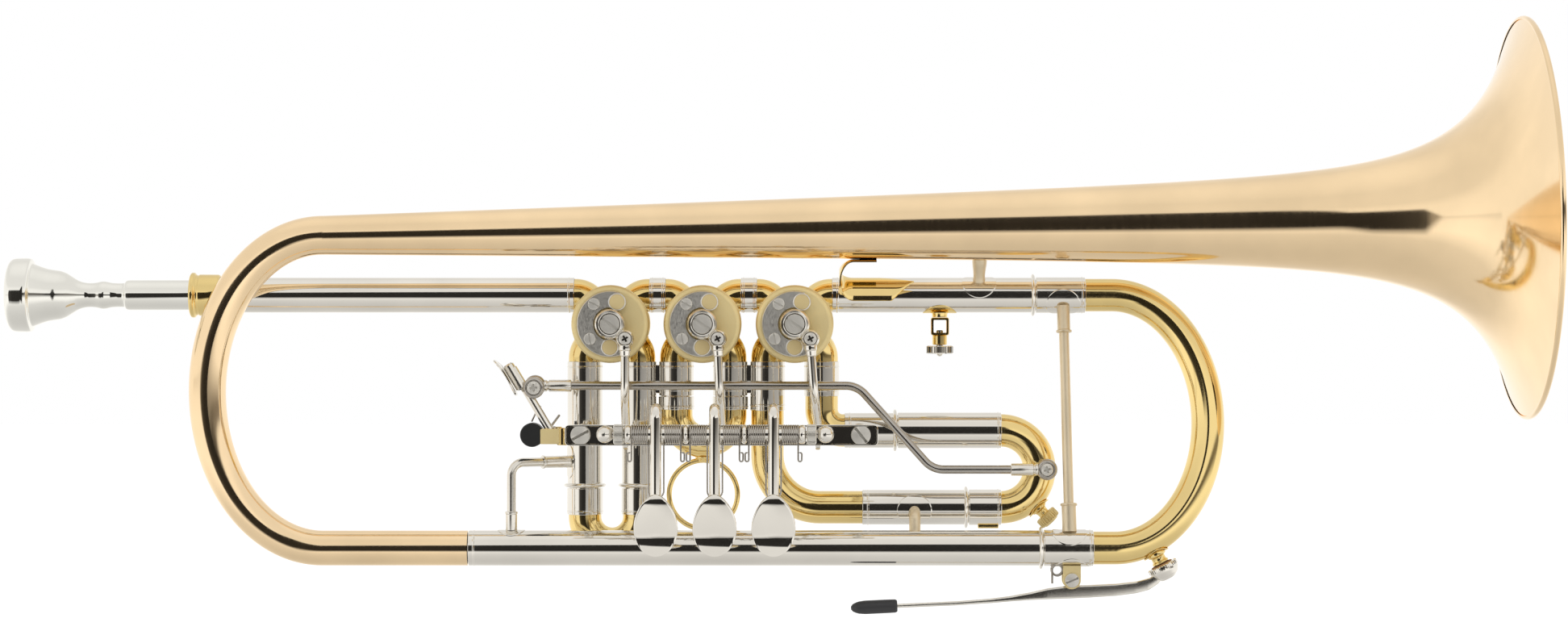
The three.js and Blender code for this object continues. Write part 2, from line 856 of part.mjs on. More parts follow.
// Key spring: two coils round the hub, each with a short hook in front, joined by a long loop that
// lies behind the arm. It prints the least gap between its turns.
function keySpring(name) {
  const coil = (side) => (share) => {
    const run = side < 0 ? share : 1 - share;
    const turn = Math.PI - 2 * Math.PI * springCurls * run;
    const x = side * (springSpread + springPitch * springCurls * (1 - run));
    return at(x, springRadius * Math.cos(turn), springRadius * Math.sin(turn));
  };
  const steps = springCurls * curlSteps;
  const route = new Route(coil(-1)(0).add(at(0, 0, -springHook)), Z);
  route.straight(springHook);
  route.follow(coil(-1), steps);
  route.heading = Y.clone().negate();
  route.bend(springTurn, X, rightAngle, 2);
  route.straight(springLeg);
  route.bend(springSpread, Y.clone().negate(), Math.PI, bendSteps);
  route.straight(springLeg);
  route.bend(springTurn, X.clone().negate(), rightAngle, 2);
  route.follow(coil(1), steps);
  route.heading = down.clone();
  route.straight(springHook);
  const points = route.stations.map((station) => station.point);
  let least = Infinity;
  points.forEach((point, i) => {
    points.slice(i + bendSteps).forEach((other) => {
      least = Math.min(least, point.distanceTo(other));
    });
  });
  console.log(name + " least gap between turns " + (least - springWire).toFixed(2) + " mm");
  return pipe(route, springWire / 2, 0, wireSides);
}

// Key axle: a rod with a knurled nut at each end and a collar between neighbouring keys.
function keyAxle() {
  const ring = (from, width, radius) => [
    [axleRadius, from],
    [radius, from],
    [radius, from + width],
    [axleRadius, from + width],
  ];
  const leftNut = firstHubStart - seat - nutWidth;
  const profile = [
    [0, -leftLugX - axleTuck],
    [axleRadius, -leftLugX - axleTuck],
    ...ring(leftNut, nutWidth, nutRadius),
    ...ring(middleKeyX - keySpacing + hubHalf + seat, spacerWidth, collarRadius),
    ...ring(middleKeyX + hubHalf + seat, spacerWidth, collarRadius),
    ...ring(lastHubEnd + seat, nutWidth, nutRadius),
    [axleRadius, rightLugX + axleTuck],
    [0, rightLugX + axleTuck],
  ];
  return turned(profile, X);
}

// Where a key's rear arm starts and ends along its axle, in the key's own frame.
function rearLine(lowerX, i) {
  const armX = middleKeyX + (i - 1) * keySpacing;
  return [(i - 1) * rearSide, (i - 1) * valveSpacing + lowerX - armX - rearPinSide];
}

// Key rail: a channel open to the front with two ball lugs for the axle, slots for the rear arms and
// two posts that stand on the slide sleeves.
function keyRail() {
  const width = railLeft + railRight;
  const middle = (railRight - railLeft) / 2;
  const front = -railFront;
  const bar = block(width, railDepth, railHeight, at(middle, front + railDepth / 2, -railDrop));
  const inside = block(
    width - 2 * railWall,
    railDepth,
    railHeight - 2 * railWall,
    at(middle, front - railWall + railDepth / 2, -railDrop),
  );
  const slots = linkLowerX.map((lowerX, i) => {
    const share = (axleDepth - railFront + railDepth / 2) / (rearReach * Math.cos(keyRest));
    const [from, to] = rearLine(lowerX, i);
    const x = middleKeyX + (i - 1) * keySpacing + from + (to - from) * share;
    const centre = at(x, front + railDepth / 2, railHeight / 2 - axleDrop - railSlotFoot);
    return block(railSlotWidth, railDepth + 2 * overrun, railHeight, centre);
  });
  const lugs = [-leftLugX, rightLugX].map((x) =>
    join(
      ball(lugRadius, at(x, -axleDepth, -axleDrop)),
      rod(at(x, -axleDepth, -axleDrop), at(x, front + railDepth - railWall / 2, -axleDrop), lugStem),
    ),
  );
  const posts = [-leftPostX, rightPostX].map((x) => {
    const seatY = -sleeveRadius - seat;
    const plate = -postFootThickness;
    return join(
      rod(at(x, front + railDepth - railWall / 2, -railDrop), at(x, seatY, -railDrop), postRadius),
      rod(at(x, seatY + plate, -railDrop), at(x, seatY, -railDrop), postFoot),
    );
  });
  const holes = [-leftLugX, rightLugX].map((x, i) => {
    const out = i === 0 ? 1 : -1;
    const deep = x - out * (axleTuck + seat);
    const mouth = x + out * (lugRadius + overrun);
    const centre = at(0, -axleDepth, -axleDrop);
    const [from, to] = [Math.min(deep, mouth), Math.max(deep, mouth)];
    return disc(axleRadius + pinClearance, from, to, X, centre, smallSides);
  });
  return cut(join(cut(bar, inside, ...slots), ...lugs, ...posts), ...holes);
}

// Valves one to three with their caps, stop plates, rotors, stop arms and links.
const casingSolid = valveCasing();
const rotorSolid = rotor();
const frontCapSolid = frontCap();
const backCapSolid = backCap();
const stopPlateSolid = stopPlate();
const stopArmSolid = stopArm();
linkLowerX.forEach((lowerX, i) => {
  const valve = groupAt(at((i - 1) * valveSpacing, 0, 0));
  const number = i + 1;
  piece("valve_casing_" + number, casingSolid, yellowBrass, valve);
  piece("rotor_" + number, rotorSolid, yellowBrass, valve);
  piece("valve_front_cap_" + number, frontCapSolid, mattBrass, valve);
  piece("valve_back_cap_" + number, backCapSolid, mattBrass, valve);
  piece("bumper_plate_" + number, stopPlateSolid, nickelSilver, valve);
  piece("stop_arm_" + number, stopArmSolid, nickelSilver, valve);
  piece("link_" + number, link(lowerX), nickelSilver, valve);
});

// Keys one to three on their axle, with their springs.
linkLowerX.forEach((lowerX, i) => {
  const armX = middleKeyX + (i - 1) * keySpacing;
  const key = groupAt(at(armX, -axleDepth, -axleDrop));
  const number = i + 1;
  const hubFrom = i === 0 ? firstHubStart - armX : -hubHalf;
  const hubTo = i === 2 ? lastHubEnd - armX : hubHalf;
  const collarAt = [firstHubStart - armX, undefined, lastHubEnd - collarWidth - armX][i];
  const lever = keyLever(hubFrom, hubTo, collarAt, ...rearLine(lowerX, i));
  piece("key_lever_" + number, lever, nickelSilver, key);
  piece("key_spring_" + number, keySpring("key_spring_" + number), steel, key);
});
piece("key_axle", keyAxle(), steel, trumpet, at(0, -axleDepth, -axleDrop));
piece("key_rail", keyRail(), nickelSilver);

// Main line: leadpipe, ferrules between the valves, outlet tube.
const mainLine = groupAt(at(0, 0, lineOffset));
const leadpipe = plainTube(sleeveRadius, sleeveBore, leadpipeLength, X);
piece("leadpipe", leadpipe, nickelSilver, mainLine, at(leadpipeStart, 0, 0));
const ferruleLength = valveSpacing - 2 * (knuckleReach + seat);
["1_2", "2_3"].forEach((pair, i) => {
  const place = at((i - 1) * valveSpacing + knuckleReach + seat, 0, 0);
  const ferrule = plainTube(sleeveRadius, sleeveBore, ferruleLength, X);
  piece("valve_ferrule_" + pair, ferrule, nickelSilver, mainLine, place);
});
piece("outlet_tube", sleeve(outletLength, X), nickelSilver, mainLine, at(outletStart, 0, 0));

// Receiver: a sleeve over the leadpipe's end with a stop ring at its mouth.
function receiver() {
  const taperBore = shankMouth + seat;
  const profile = [
    [taperBore, 0],
    [receiverRing, 0],
    [receiverRing, receiverRingWidth],
    [receiverRadius, receiverRingWidth + edgeRound],
    [receiverRadius, receiverLength],
    [sleeveRadius + seat, receiverLength],
    [sleeveRadius + seat, receiverLength - receiverLap],
    [taperBore, receiverLength - receiverLap],
  ];
  return turned(profile, X, receiverSides);
}
const receiverX = leadpipeStart + receiverLap - seat - receiverLength;
piece("mouthpiece_receiver", receiver(), yellowBrass, mainLine, at(receiverX, 0, 0));

// Mouthpiece: the outline and the cup are shares of its length from the rim and of the rim's radius.
function mouthpiece() {
  const visible = mouthpieceLength - mouthpieceInsert;
  const outside = outlineShares.map(([along, radius]) => [radius * mouthpieceRim, along * visible]);
  const inside = [
    [boreEndRadius, mouthpieceLength],
    [throatRadius, 2 * cupDepth],
    [throatRadius, cupDepth],
    [cupMouthRadius * cupNeckShare, cupDepth - throatRadius],
    [cupMouthRadius * cupBowlShare, cupDepth / 2],
    [cupMouthRadius, rimRound],
    [cupMouthRadius + rimRound, 0],
  ];
  const profile = [...outside, [shankMouth, visible], [shankEnd, mouthpieceLength], ...inside];
  return turned(profile, X, roundSides);
}
const mouthpieceX = receiverX + mouthpieceInsert - mouthpieceLength;
piece("mouthpiece", mouthpiece(), silverPlate, mainLine, at(mouthpieceX, 0, 0));

// First and second slides: sleeves that hang from the casings and U-bows on their legs.
function sleeveAt(x, length) {
  return { solid: sleeve(length, down), x, length };
}
function hung({ solid, x }) {
  return solid.translate([x, 0, sleeveTop]);
}
const firstLeft = sleeveAt(firstLeftX, firstSleeveLength);
const firstRight = sleeveAt(-valveSpacing + legOffset, firstSleeveLength);
const secondLeft = sleeveAt(-legOffset, secondSleeveLength);
const secondRight = sleeveAt(legOffset, secondSleeveLength);
function bridged(left, right) {
  const top = sleeveTop - bridgeTop;
  const centre = at((left.x + right.x) / 2, 0, top - bridgeHeight / 2);
  const middleOfWall = sleeveRadius - sleeveWall / 2;
  const coreEnd = sleeveTop - left.length;
  const core = ({ x }) => disc(middleOfWall, coreEnd, sleeveTop + overrun, Z, at(x, 0, 0));
  const web = cut(block(right.x - left.x, bridgeDepth, bridgeHeight, centre), core(left), core(right));
  return join(hung(left), hung(right), web);
}
const thirdLeftSolid = plainTube(sleeveRadius, sleeveBore, thirdLeftSleeve, down);
const thirdLeft = { solid: thirdLeftSolid, x: thirdLeftX };
piece("slide_sleeve_1_left", hung(firstLeft), nickelSilver);
piece("slide_sleeves_1_2", bridged(firstRight, secondLeft), nickelSilver);
piece("slide_sleeves_2_3", bridged(secondRight, thirdLeft), nickelSilver);

function slideBow(sleeveLength, legLength, ferrule, bowDrop) {
  const mouth = sleeveTop - sleeveLength;
  const leg = (x) => slideLeg(legLength, ferrule, down).translate([x, 0, mouth]);
  const start = mouth - ferrule + ferruleLap;
  const route = new Route(at(-legOffset, 0, start), down);
  route.straight(bowDrop + start);
  route.bend(legOffset, down.clone().cross(X), Math.PI, bowSteps);
  route.straight(bowDrop + start);
  return join(leg(-legOffset), leg(legOffset), pipe(route, tubeRadius, tubeBore));
}
const firstBow = slideBow(firstSleeveLength, firstLegLength, firstFerrule, firstBowDrop);
piece("slide_1_bow", firstBow, yellowBrass, trumpet, at(-valveSpacing, 0, 0));

// The second slide's bow carries its pull ring on a short stub.
function secondBow() {
  const bottom = secondBowDrop + legOffset + tubeRadius;
  const ring = new THREE.TorusGeometry(pullRingRadius, pullRingWire, wireSides, capSides);
  ring.rotateX(rightAngle);
  ring.translate(0, 0, -bottom - pullRingRadius - pullRingWire);
  const stub = disc(pullRingWire * 2, -pullRingWire, tubeWall, Z, at(0, 0, -bottom), smallSides);
  const bow = slideBow(secondSleeveLength, secondLegLength, secondFerrule, secondBowDrop);
  return join(bow, stub, solidOf(ring));
}
piece("slide_2_bow", secondBow(), yellowBrass);

// Third slide: two elbows turn its legs towards the bell; its bow moves along X.
function elbow(x, length, drop, radius, end) {
  const start = sleeveTop - length - seat;
  const route = new Route(at(x, 0, start), down);
  route.straight(drop - radius + start);
  route.bend(radius, down.clone().cross(X), rightAngle, bendSteps);
  route.straight(end - seat - x - radius);
  return pipe(route, tubeRadius, tubeBore);
}
const thirdRight = plainTube(sleeveRadius, sleeveBore, thirdRightSleeve, down);
const thirdUpper = sleeve(thirdUpperSleeveLength, X);
const upperElbow = elbow(
  thirdRightX,
  thirdRightSleeve,
  thirdUpperDrop,
  thirdUpperBend,
  thirdUpperSleeveStart,
);
const lowerElbow = elbow(
  thirdLeftX,
  thirdLeftSleeve,
  thirdLowerDrop,
  thirdLowerBend,
  thirdLowerSleeveStart,
);
piece("slide_sleeve_3_right", thirdRight, nickelSilver, trumpet, at(thirdRightX, 0, sleeveTop));
piece("slide_3_upper_elbow", upperElbow, yellowBrass);
piece("slide_3_lower_elbow", lowerElbow, yellowBrass);
const thirdUpperPlace = at(thirdUpperSleeveStart, 0, -thirdUpperDrop);
piece("slide_3_upper_sleeve", thirdUpper, nickelSilver, trumpet, thirdUpperPlace);

// The lower sleeve carries a short post down to the bell tail tube.
function thirdLowerSleeve() {
  const plain = sleeve(thirdLowerSleeveLength, X);
  const body = plain.translate([thirdLowerSleeveStart, 0, -thirdLowerDrop]);
  const from = at(sleevePostX, 0, -thirdLowerDrop);
  const towards = at(sleevePostX, -bottomDepth, bottomZ);
  const direction = towards.clone().sub(from).normalize();
  const start = from.clone().addScaledVector(direction, sleeveBore);
  const end = towards.clone().addScaledVector(direction, -(sleeveRadius + seat));
  return join(body, rod(start, end, braceRadius));
}
piece("slide_3_lower_sleeve", thirdLowerSleeve(), nickelSilver);

function thirdBow() {
  const radius = (thirdLowerDrop - thirdUpperDrop) / 2;
  const leg = (start, length, drop) =>
    slideLeg(length, thirdFerruleEnd - start, X).translate([start, 0, -drop]);
  const route = new Route(at(thirdFerruleEnd - ferruleLap, 0, -thirdUpperDrop), X);
  route.straight(ferruleLap);
  route.bend(radius, Y, Math.PI, bowSteps);
  route.straight(ferruleLap);
  const middle = at(thirdFerruleEnd, 0, -(thirdUpperDrop + thirdLowerDrop) / 2);
  const turn = THREE.MathUtils.degToRad(thirdDrainDegrees);
  const out = at(Math.cos(turn), 0, -Math.sin(turn));
  const wall = middle.clone().addScaledVector(out, radius + tubeRadius - 2 * tubeWall);
  const neck = wall.clone().addScaledVector(out, drainLength);
  const cap = neck.clone().addScaledVector(out, drainCapLength);
  const eyeBackY = rodEyeThickness / 2 - rodDepth;
  const eyeFrontY = -rodEyeThickness / 2 - rodDepth;
  const boss = disc(bossRadius, eyeBackY + seat, 2 * tubeWall - tubeRadius, Y, rodEnd, smallSides);
  const stud = disc(studRadius, eyeFrontY, -tubeRadius, Y, rodEnd, smallSides);
  return join(
    leg(thirdUpperSleeveEnd, thirdLegLength, thirdUpperDrop),
    leg(thirdLowerSleeveEnd, thirdLowerLegLength, thirdLowerDrop),
    pipe(route, tubeRadius, tubeBore),
    rod(wall, neck, drainRadius),
    rod(neck, cap, drainCapRadius),
    boss,
    stud,
  );
}
piece("slide_3_bow", thirdBow(), yellowBrass);

// Push rod from the trigger to the third slide, with an eye at each end.
function pushRod() {
  const start = at(-rodLeft, -rodDepth, -rodDrop);
  const turn = THREE.MathUtils.degToRad(rodBendDegrees);
  const fall = rodEndDrop - rodDrop - 2 * rodBend * (1 - Math.cos(turn));
  const slope = fall / Math.sin(turn);
  const route = new Route(start.clone().add(at(rodEyeRadius - edgeRound, 0, 0)), X);
  route.straight(rodBendStart + rodLeft - rodEyeRadius + edgeRound);
  route.bend(rodBend, Y, turn, bendSteps);
  route.straight(slope);
  route.bend(rodBend, Y.clone().negate(), turn, bendSteps);
  route.straight(rodEndX - rodEyeRadius + edgeRound - route.point.x);
  const eye = (centre, bore) => {
    const from = -rodDepth - rodEyeThickness / 2;
    const to = from + rodEyeThickness;
    const hole = disc(bore, from - overrun, to + overrun, Y, centre, tubeSides);
    return [disc(rodEyeRadius, from, to, Y, centre), hole];
  };
  const [leftEye, leftHole] = eye(at(-rodLeft, 0, -rodDrop), triggerPinRadius + triggerPlay);
  const [rightEye, rightHole] = eye(rodEnd, studRadius + pinClearance);
  const leftSocketEnd = start.clone().add(at(rodEyeRadius + rodSocketLength, 0, 0));
  const leftSocket = rod(route.stations[0].point, leftSocketEnd, rodSocketRadius);
  const last = route.stations[route.stations.length - 1].point;
  const rightSocket = rod(last.clone().add(at(-rodSocketLength, 0, 0)), last, rodSocketRadius);
  const bar = pipe(route, rodRadius, 0, smallSides);
  return cut(join(bar, leftEye, rightEye, leftSocket, rightSocket), leftHole, rightHole);
}
piece("trigger_rod", pushRod(), steel);

// Trigger lever: hub on the bracket's pin, arm, lug with the stud for the push rod, thumb plate.
function triggerLever() {
  const centre = at(0, 0, 0);
  const stud = at(-rodStudSet, 0, triggerDrop - rodDrop - triggerEyeLift);
  const tip = at(-triggerArmX, 0, triggerArmRise);
  const boss = (radius, place) => disc(radius, -triggerFront, -triggerDepth, Y, place, tubeSides);
  const arm = new THREE.BoxGeometry(tip.length(), triggerThickness, triggerArmWidth);
  arm.rotateY(-Math.atan2(tip.z, tip.x));
  arm.translate(tip.x / 2, -(triggerDepth + triggerThickness / 2), tip.z / 2);
  const plate = new THREE.BoxGeometry(thumbLength, thumbWidth, thumbThickness);
  plate.rotateY(-Math.atan2(tip.z, tip.x));
  const middle = -(triggerDepth + triggerThickness / 2);
  plate.translate(tip.x - thumbSetX, middle, tip.z - thumbSetZ);
  const bridgeFrom = at(tip.x, middle, tip.z);
  const bridgeTo = at(tip.x - thumbSetX, middle, tip.z - thumbSetZ);
  const bridge = rod(bridgeFrom, bridgeTo, triggerThickness / 2);
  const pinFront = -triggerDepth - edgeRound;
  const pin = disc(triggerPinRadius, pinFront, rodEyeThickness / 2 - rodDepth, Y, stud, smallSides);
  const bore = triggerPinRadius + pinClearance;
  const pivot = disc(bore, -triggerFront - overrun, -triggerDepth + overrun, Y, centre, smallSides);
  const bosses = join(boss(triggerHubRadius, centre), boss(triggerLugRadius, stud));
  return cut(join(bosses, solidOf(arm), solidOf(plate), bridge, pin), pivot);
}
const triggerGroup = groupAt(at(-triggerX, 0, -triggerDrop));
piece("trigger_lever", triggerLever(), nickelSilver, triggerGroup);

// Trigger bracket: a block with the pivot pin, a foot to the first sleeve and the round stop.
function triggerBracket() {
  const front = triggerDepth - seat;
  const centre = at(0, 0, 0);
  const body = block(bracketWidth, bracketDepth, bracketHeight, at(0, bracketDepth / 2 - front, 0));
  const pinFront = -triggerFront - triggerPinEnd;
  const pin = disc(triggerPinRadius, pinFront, edgeRound - front, Y, centre, smallSides);
  const stopPlace = at(-stopDiscSet, 0, 0);
  const stop = disc(stopDiscRadius, -front, stopDiscThickness - front, Y, stopPlace);
  const axis = at(triggerSet, 0, 0);
  const from = at(0, bracketDepth / 2 - front, 0);
  const direction = axis.clone().sub(from).normalize();
  const end = axis.clone().addScaledVector(direction, -(sleeveRadius + seat));
  return join(body, pin, stop, rod(from, end, bracketFootRadius));
}
piece("trigger_bracket", triggerBracket(), yellowBrass, triggerGroup);

// Bell: a tail, an oval bow that widens, and a flared cone with a rolled rim.
function bellRadiusAt(fromRim) {
  const flare = flareRise * (flareThroat / (fromRim + flareThroat)) ** flarePower;
  return stemRadius - stemTaperShare * fromRim + flare;
}
function bellSlopeAt(fromRim) {
  const grow = (flareThroat / (fromRim + flareThroat)) ** (flarePower + 1);
  return stemTaperShare + (flarePower * flareRise * grow) / flareThroat;
}
function bell() {
  const tilt = THREE.MathUtils.degToRad(bellTilt);
  const length = (rimX + bowX) / Math.cos(tilt);
  const start = bellRadiusAt(length);
  const bowEnd = (start - bowInset) / bellTailRadius;
  const middleZ = (bellRise + bottomZ) / 2;
  const halfHeight = (bellRise - bottomZ) / 2;
  const route = new Route(at(-bellTailEnd, 0, bottomZ), X.clone().negate());
  route.straight(bowX - bellTailEnd);
  const oval = (share) => {
    const turn = Math.PI * share;
    return at(-bowX - bowReach * Math.sin(turn), 0, middleZ - halfHeight * Math.cos(turn));
  };
  route.follow(oval, ovalSteps, (share) => 1 + (bowEnd - 1) * share);
  route.straight(overrun);
  const bow = pipe(route, bellTailRadius, bellTailRadius - bowWall);
  const outer = [];
  const inner = [];
  for (let i = 0; i <= bellSteps; i++) {
    const fromRim = length * (1 - i / bellSteps) ** flareStepPower;
    const radius = bellRadiusAt(fromRim);
    const slope = bellSlopeAt(fromRim);
    const lean = Math.hypot(1, slope);
    outer.push([radius, length - fromRim]);
    inner.unshift([radius - bellWall / lean, length - fromRim + (bellWall * slope) / lean]);
  }
  const rimRadius = bellRadiusAt(0);
  const bead = [
    [rimRadius + rimBead / 2, length + rimBead / 4],
    [rimRadius + rimBead / 2, length + rimBead],
    [rimRadius - rimBead / 2, length + rimBead + rimBead / 2],
  ];
  const flare = turned([...outer, ...bead, ...inner], X, bellSides);
  const placed = flare.rotate([0, -bellTilt, 0]).translate([-bowX, 0, bellRise]);
  return join(bow, placed);
}
const lowPlane = groupAt(at(0, -bottomDepth, 0));
piece("bell", bell(), goldBrass, lowPlane);
const tailTube = sleeve(tailTubeEnd + bellTailEnd - seat, X);
piece("bell_tail_tube", tailTube, nickelSilver, lowPlane, at(seat - bellTailEnd, 0, bottomZ));

// Tuning slide: its bow leans from the port plane to the plane of the bell tail tube.
function tuningSlide() {
  const upperLeg = slideLeg(tuningLegLength, tuningFerruleLength, X);
  const upper = upperLeg.translate([outletEnd, 0, lineOffset]);
  const lowerLeg = slideLeg(tuningLegLength, tuningLowerLength, X);
  const lower = lowerLeg.translate([tailTubeEnd, -bottomDepth, bottomZ]);
  const halfDrop = bottomDrop / 2;
  const halfDepth = bottomDepth / 2;
  const oval = (share) => {
    const turn = Math.PI * share;
    const swing = 1 - Math.cos(turn);
    const x = tuningBowX + tuningBowReach * Math.sin(turn);
    return at(x, -halfDepth * swing, lineOffset - halfDrop * swing);
  };
  const route = new Route(at(tuningFerruleEnd - ferruleLap, 0, lineOffset), X);
  route.straight(tuningBowX - tuningFerruleEnd + ferruleLap);
  route.follow(oval, ovalSteps);
  route.straight(tuningBowX - tuningLowerX + ferruleLap);
  const turn = THREE.MathUtils.degToRad(nippleDegrees);
  const near = oval(0.5 + turn / Math.PI);
  const centre = at(tuningBowX, -halfDepth, lineOffset - halfDrop);
  const outX = (near.x - centre.x) / tuningBowReach ** 2;
  const outZ = (near.z - centre.z) / halfDrop ** 2;
  const out = at(outX, 0, outZ).normalize();
  const wall = near.clone().addScaledVector(out, tubeRadius - 2 * tubeWall);
  const tip = near.clone().addScaledVector(out, tubeRadius + nippleLength);
  const bow = pipe(route, tubeRadius, tubeBore);
  const nipple = rod(wall, tip, nippleRadius);
  return { solid: join(upper, lower, bow, nipple, waterPost()), near, out };
}

// Water key post: two cheeks under the lower ferrule with a pin between them.
function waterPost() {
  const top = bottomZ - ferruleRadius + 2 * tubeWall;
  const pivot = at(waterKeyX, 0, -waterKeyDrop);
  const cheek = (side) => {
    const y = -bottomDepth + side * (waterPostGap + waterPostCheek) / 2;
    const [front, back] = [y - waterPostCheek / 2, y + waterPostCheek / 2];
    const centre = at(waterKeyX, y, (top - waterKeyDrop) / 2);
    return join(
      block(waterPostWidth, waterPostCheek, top + waterKeyDrop, centre),
      disc(waterPostWidth / 2, front, back, Y, pivot, tubeSides),
    );
  };
  const reach = waterPostGap / 2 + waterPostCheek;
  const pin = disc(waterPinRadius, -bottomDepth - reach, reach - bottomDepth, Y, pivot, smallSides);
  const saddlePlace = at(waterKeyX, -bottomDepth, top - flangeThickness);
  const saddle = block(waterPostWidth, 2 * reach, flangeThickness * 2, saddlePlace);
  return join(cheek(-1), cheek(1), pin, saddle);
}
const tuning = tuningSlide();
piece("tuning_slide_bow", tuning.solid, yellowBrass);

// Tuning slide brace: a rod between two soldered sockets on the ferrules.
function tuningBrace() {
  const upperAxis = at(tuningBraceX, 0, lineOffset);
  const lowerAxis = at(tuningBraceX + tuningBraceLean, -bottomDepth, bottomZ);
  const reach = ferruleRadius + seat;
  const upperFall = Math.sqrt(reach ** 2 - braceUpperDepth ** 2);
  const upper = upperAxis.clone().add(at(0, -braceUpperDepth, -upperFall));
  const lowerDepth = braceLowerDepth - bottomDepth;
  const lowerRise = Math.sqrt(reach ** 2 - lowerDepth ** 2);
  const lower = lowerAxis.clone().add(at(0, -lowerDepth, lowerRise));
  const along = lower.clone().sub(upper).normalize();
  const back = along.clone().negate();
  const outUpper = upper.clone().sub(upperAxis).normalize();
  const outLower = lower.clone().sub(lowerAxis).normalize();
  const upperLip = upper.clone().addScaledVector(outUpper, flangeThickness);
  const lowerLip = lower.clone().addScaledVector(outLower, flangeThickness);
  const flangeOuter = braceSocketRadius + flangeThickness;
  const start = upperLip.clone().addScaledVector(along, flangeThickness);
  const end = lowerLip.clone().addScaledVector(back, flangeThickness);
  return join(
    rod(start, end, braceRadius),
    rod(start, start.clone().addScaledVector(along, braceSocketLength), braceSocketRadius),
    rod(end, end.clone().addScaledVector(back, braceSocketLength), braceSocketRadius),
    rod(upper, upperLip, flangeOuter),
    rod(lower, lowerLip, flangeOuter),
  );
}
piece("tuning_slide_brace", tuningBrace(), nickelSilver);

// Water key: hub on the post's pin, a bar to the rubber tip and an arm to the cup over the nipple.
const leverEnd = at(waterKeyX - leverReach, -bottomDepth, -waterKeyDrop - leverDrop);
const leverBend = at(waterKeyX - leverMiddle, -bottomDepth, -waterKeyDrop - leverMiddleDrop);
function waterKey() {
  const mouth = tuning.near.clone().addScaledVector(tuning.out, tubeRadius + nippleLength + seat);
  const bottom = mouth.clone().addScaledVector(tuning.out, cupThickness);
  const pivot = at(waterKeyX, 0, -waterKeyDrop);
  const strip = (points) => {
    const side = (rise) => points.map((point) => new THREE.Vector2(point.x, point.z + rise));
    const upper = side(leverThickness / 2);
    const lower = side(-leverThickness / 2).reverse();
    const depth = leverWidth;
    const outline = new THREE.Shape([...upper, ...lower]);
    const geometry = new THREE.ExtrudeGeometry(outline, { depth, bevelEnabled: false });
    geometry.rotateX(rightAngle);
    geometry.translate(0, leverWidth / 2 - bottomDepth, 0);
    return solidOf(geometry);
  };
  const under = pivot.clone().add(at(0, 0, -leverUnder));
  const front = pivot.clone().add(at(leverFront, 0, -leverFrontDrop));
  const last = bottom.clone().addScaledVector(tuning.out, -cupInset);
  const lever = strip([leverEnd, leverBend, under, front, last]);
  const half = waterPostGap / 2 - seat;
  const hub = disc(waterHubRadius, -bottomDepth - half, -bottomDepth + half, Y, pivot, tubeSides);
  const webPlace = at(pivot.x, -bottomDepth, pivot.z - leverUnder / 2);
  const web = block(waterHubRadius, leverWidth, leverUnder, webPlace);
  const reach = half + overrun;
  const bore = waterPinRadius + pinClearance;
  const hole = disc(bore, -bottomDepth - reach, reach - bottomDepth, Y, pivot, smallSides);
  return cut(join(lever, hub, web, rod(mouth, bottom, cupRadius, tubeSides)), hole);
}
piece("water_key_lever", waterKey(), nickelSilver);

function waterTip() {
  const profile = [
    [0, 0],
    [tipRadius / 2, 0],
    [tipRadius, tipRadius],
    [tipRadius, tipLength - tipRadius / 2],
    [tipRadius / 2, tipLength],
    [0, tipLength],
  ];
  const out = leverEnd.clone().sub(leverBend).normalize();
  const start = leverEnd.clone().addScaledVector(out, seat);
  return turned(profile, out, smallSides).translate(start.toArray());
}
piece("water_key_tip", waterTip(), rubber);

// The height of the bell's axis over a place along the instrument.
function bellAxisAt(x) {
  return bellRise + (x + bowX) * Math.tan(THREE.MathUtils.degToRad(bellTilt));
}

// Bell brace: a short strut from the outlet tube to the bell's underside.
function bellBrace() {
  const axis = at(bellBraceX, 0, lineOffset);
  const bellAxis = at(bellBraceX, -bottomDepth, bellAxisAt(bellBraceX));
  const direction = bellAxis.clone().sub(axis).normalize();
  const bellRadius = bellRadiusAt(rimX - bellBraceX);
  const from = axis.clone().addScaledVector(direction, sleeveRadius + seat);
  const to = bellAxis.clone().addScaledVector(direction, -(bellRadius + seat));
  const lowerFoot = foot(from, direction, bellBraceRadius, flangeThickness * 2, bellBraceFlange);
  return join(rod(from, to, bellBraceRadius), lowerFoot);
}
piece("bell_brace", bellBrace(), nickelSilver);

// Corner brace: from the bell tail tube up, round a bend and across to the first slide sleeve.
function cornerBrace() {
  const reach = sleeveRadius + seat;
  const bottom = at(-cornerBraceX, -bottomDepth, bottomZ + reach);
  const corner = at(-cornerBraceX, -bottomDepth, -cornerBraceDrop);
  const axis = at(firstLeftX, 0, -cornerBraceDrop);
  const across = axis.clone().sub(corner).normalize();
  const end = axis.clone().addScaledVector(across, -reach);
  const route = new Route(bottom, Z);
  route.straight(corner.z - bottom.z - cornerBend);
  route.bend(cornerBend, Z.clone().cross(across).normalize(), rightAngle, bendSteps);
  route.straight(route.point.distanceTo(end));
  return join(
    pipe(route, braceRadius, 0, smallSides),
    foot(bottom, Z, braceSocketRadius, cornerSocketLength),
    foot(end, across.clone().negate(), braceSocketRadius, cornerSocketLength),
  );
}
piece("corner_brace", cornerBrace(), nickelSilver);

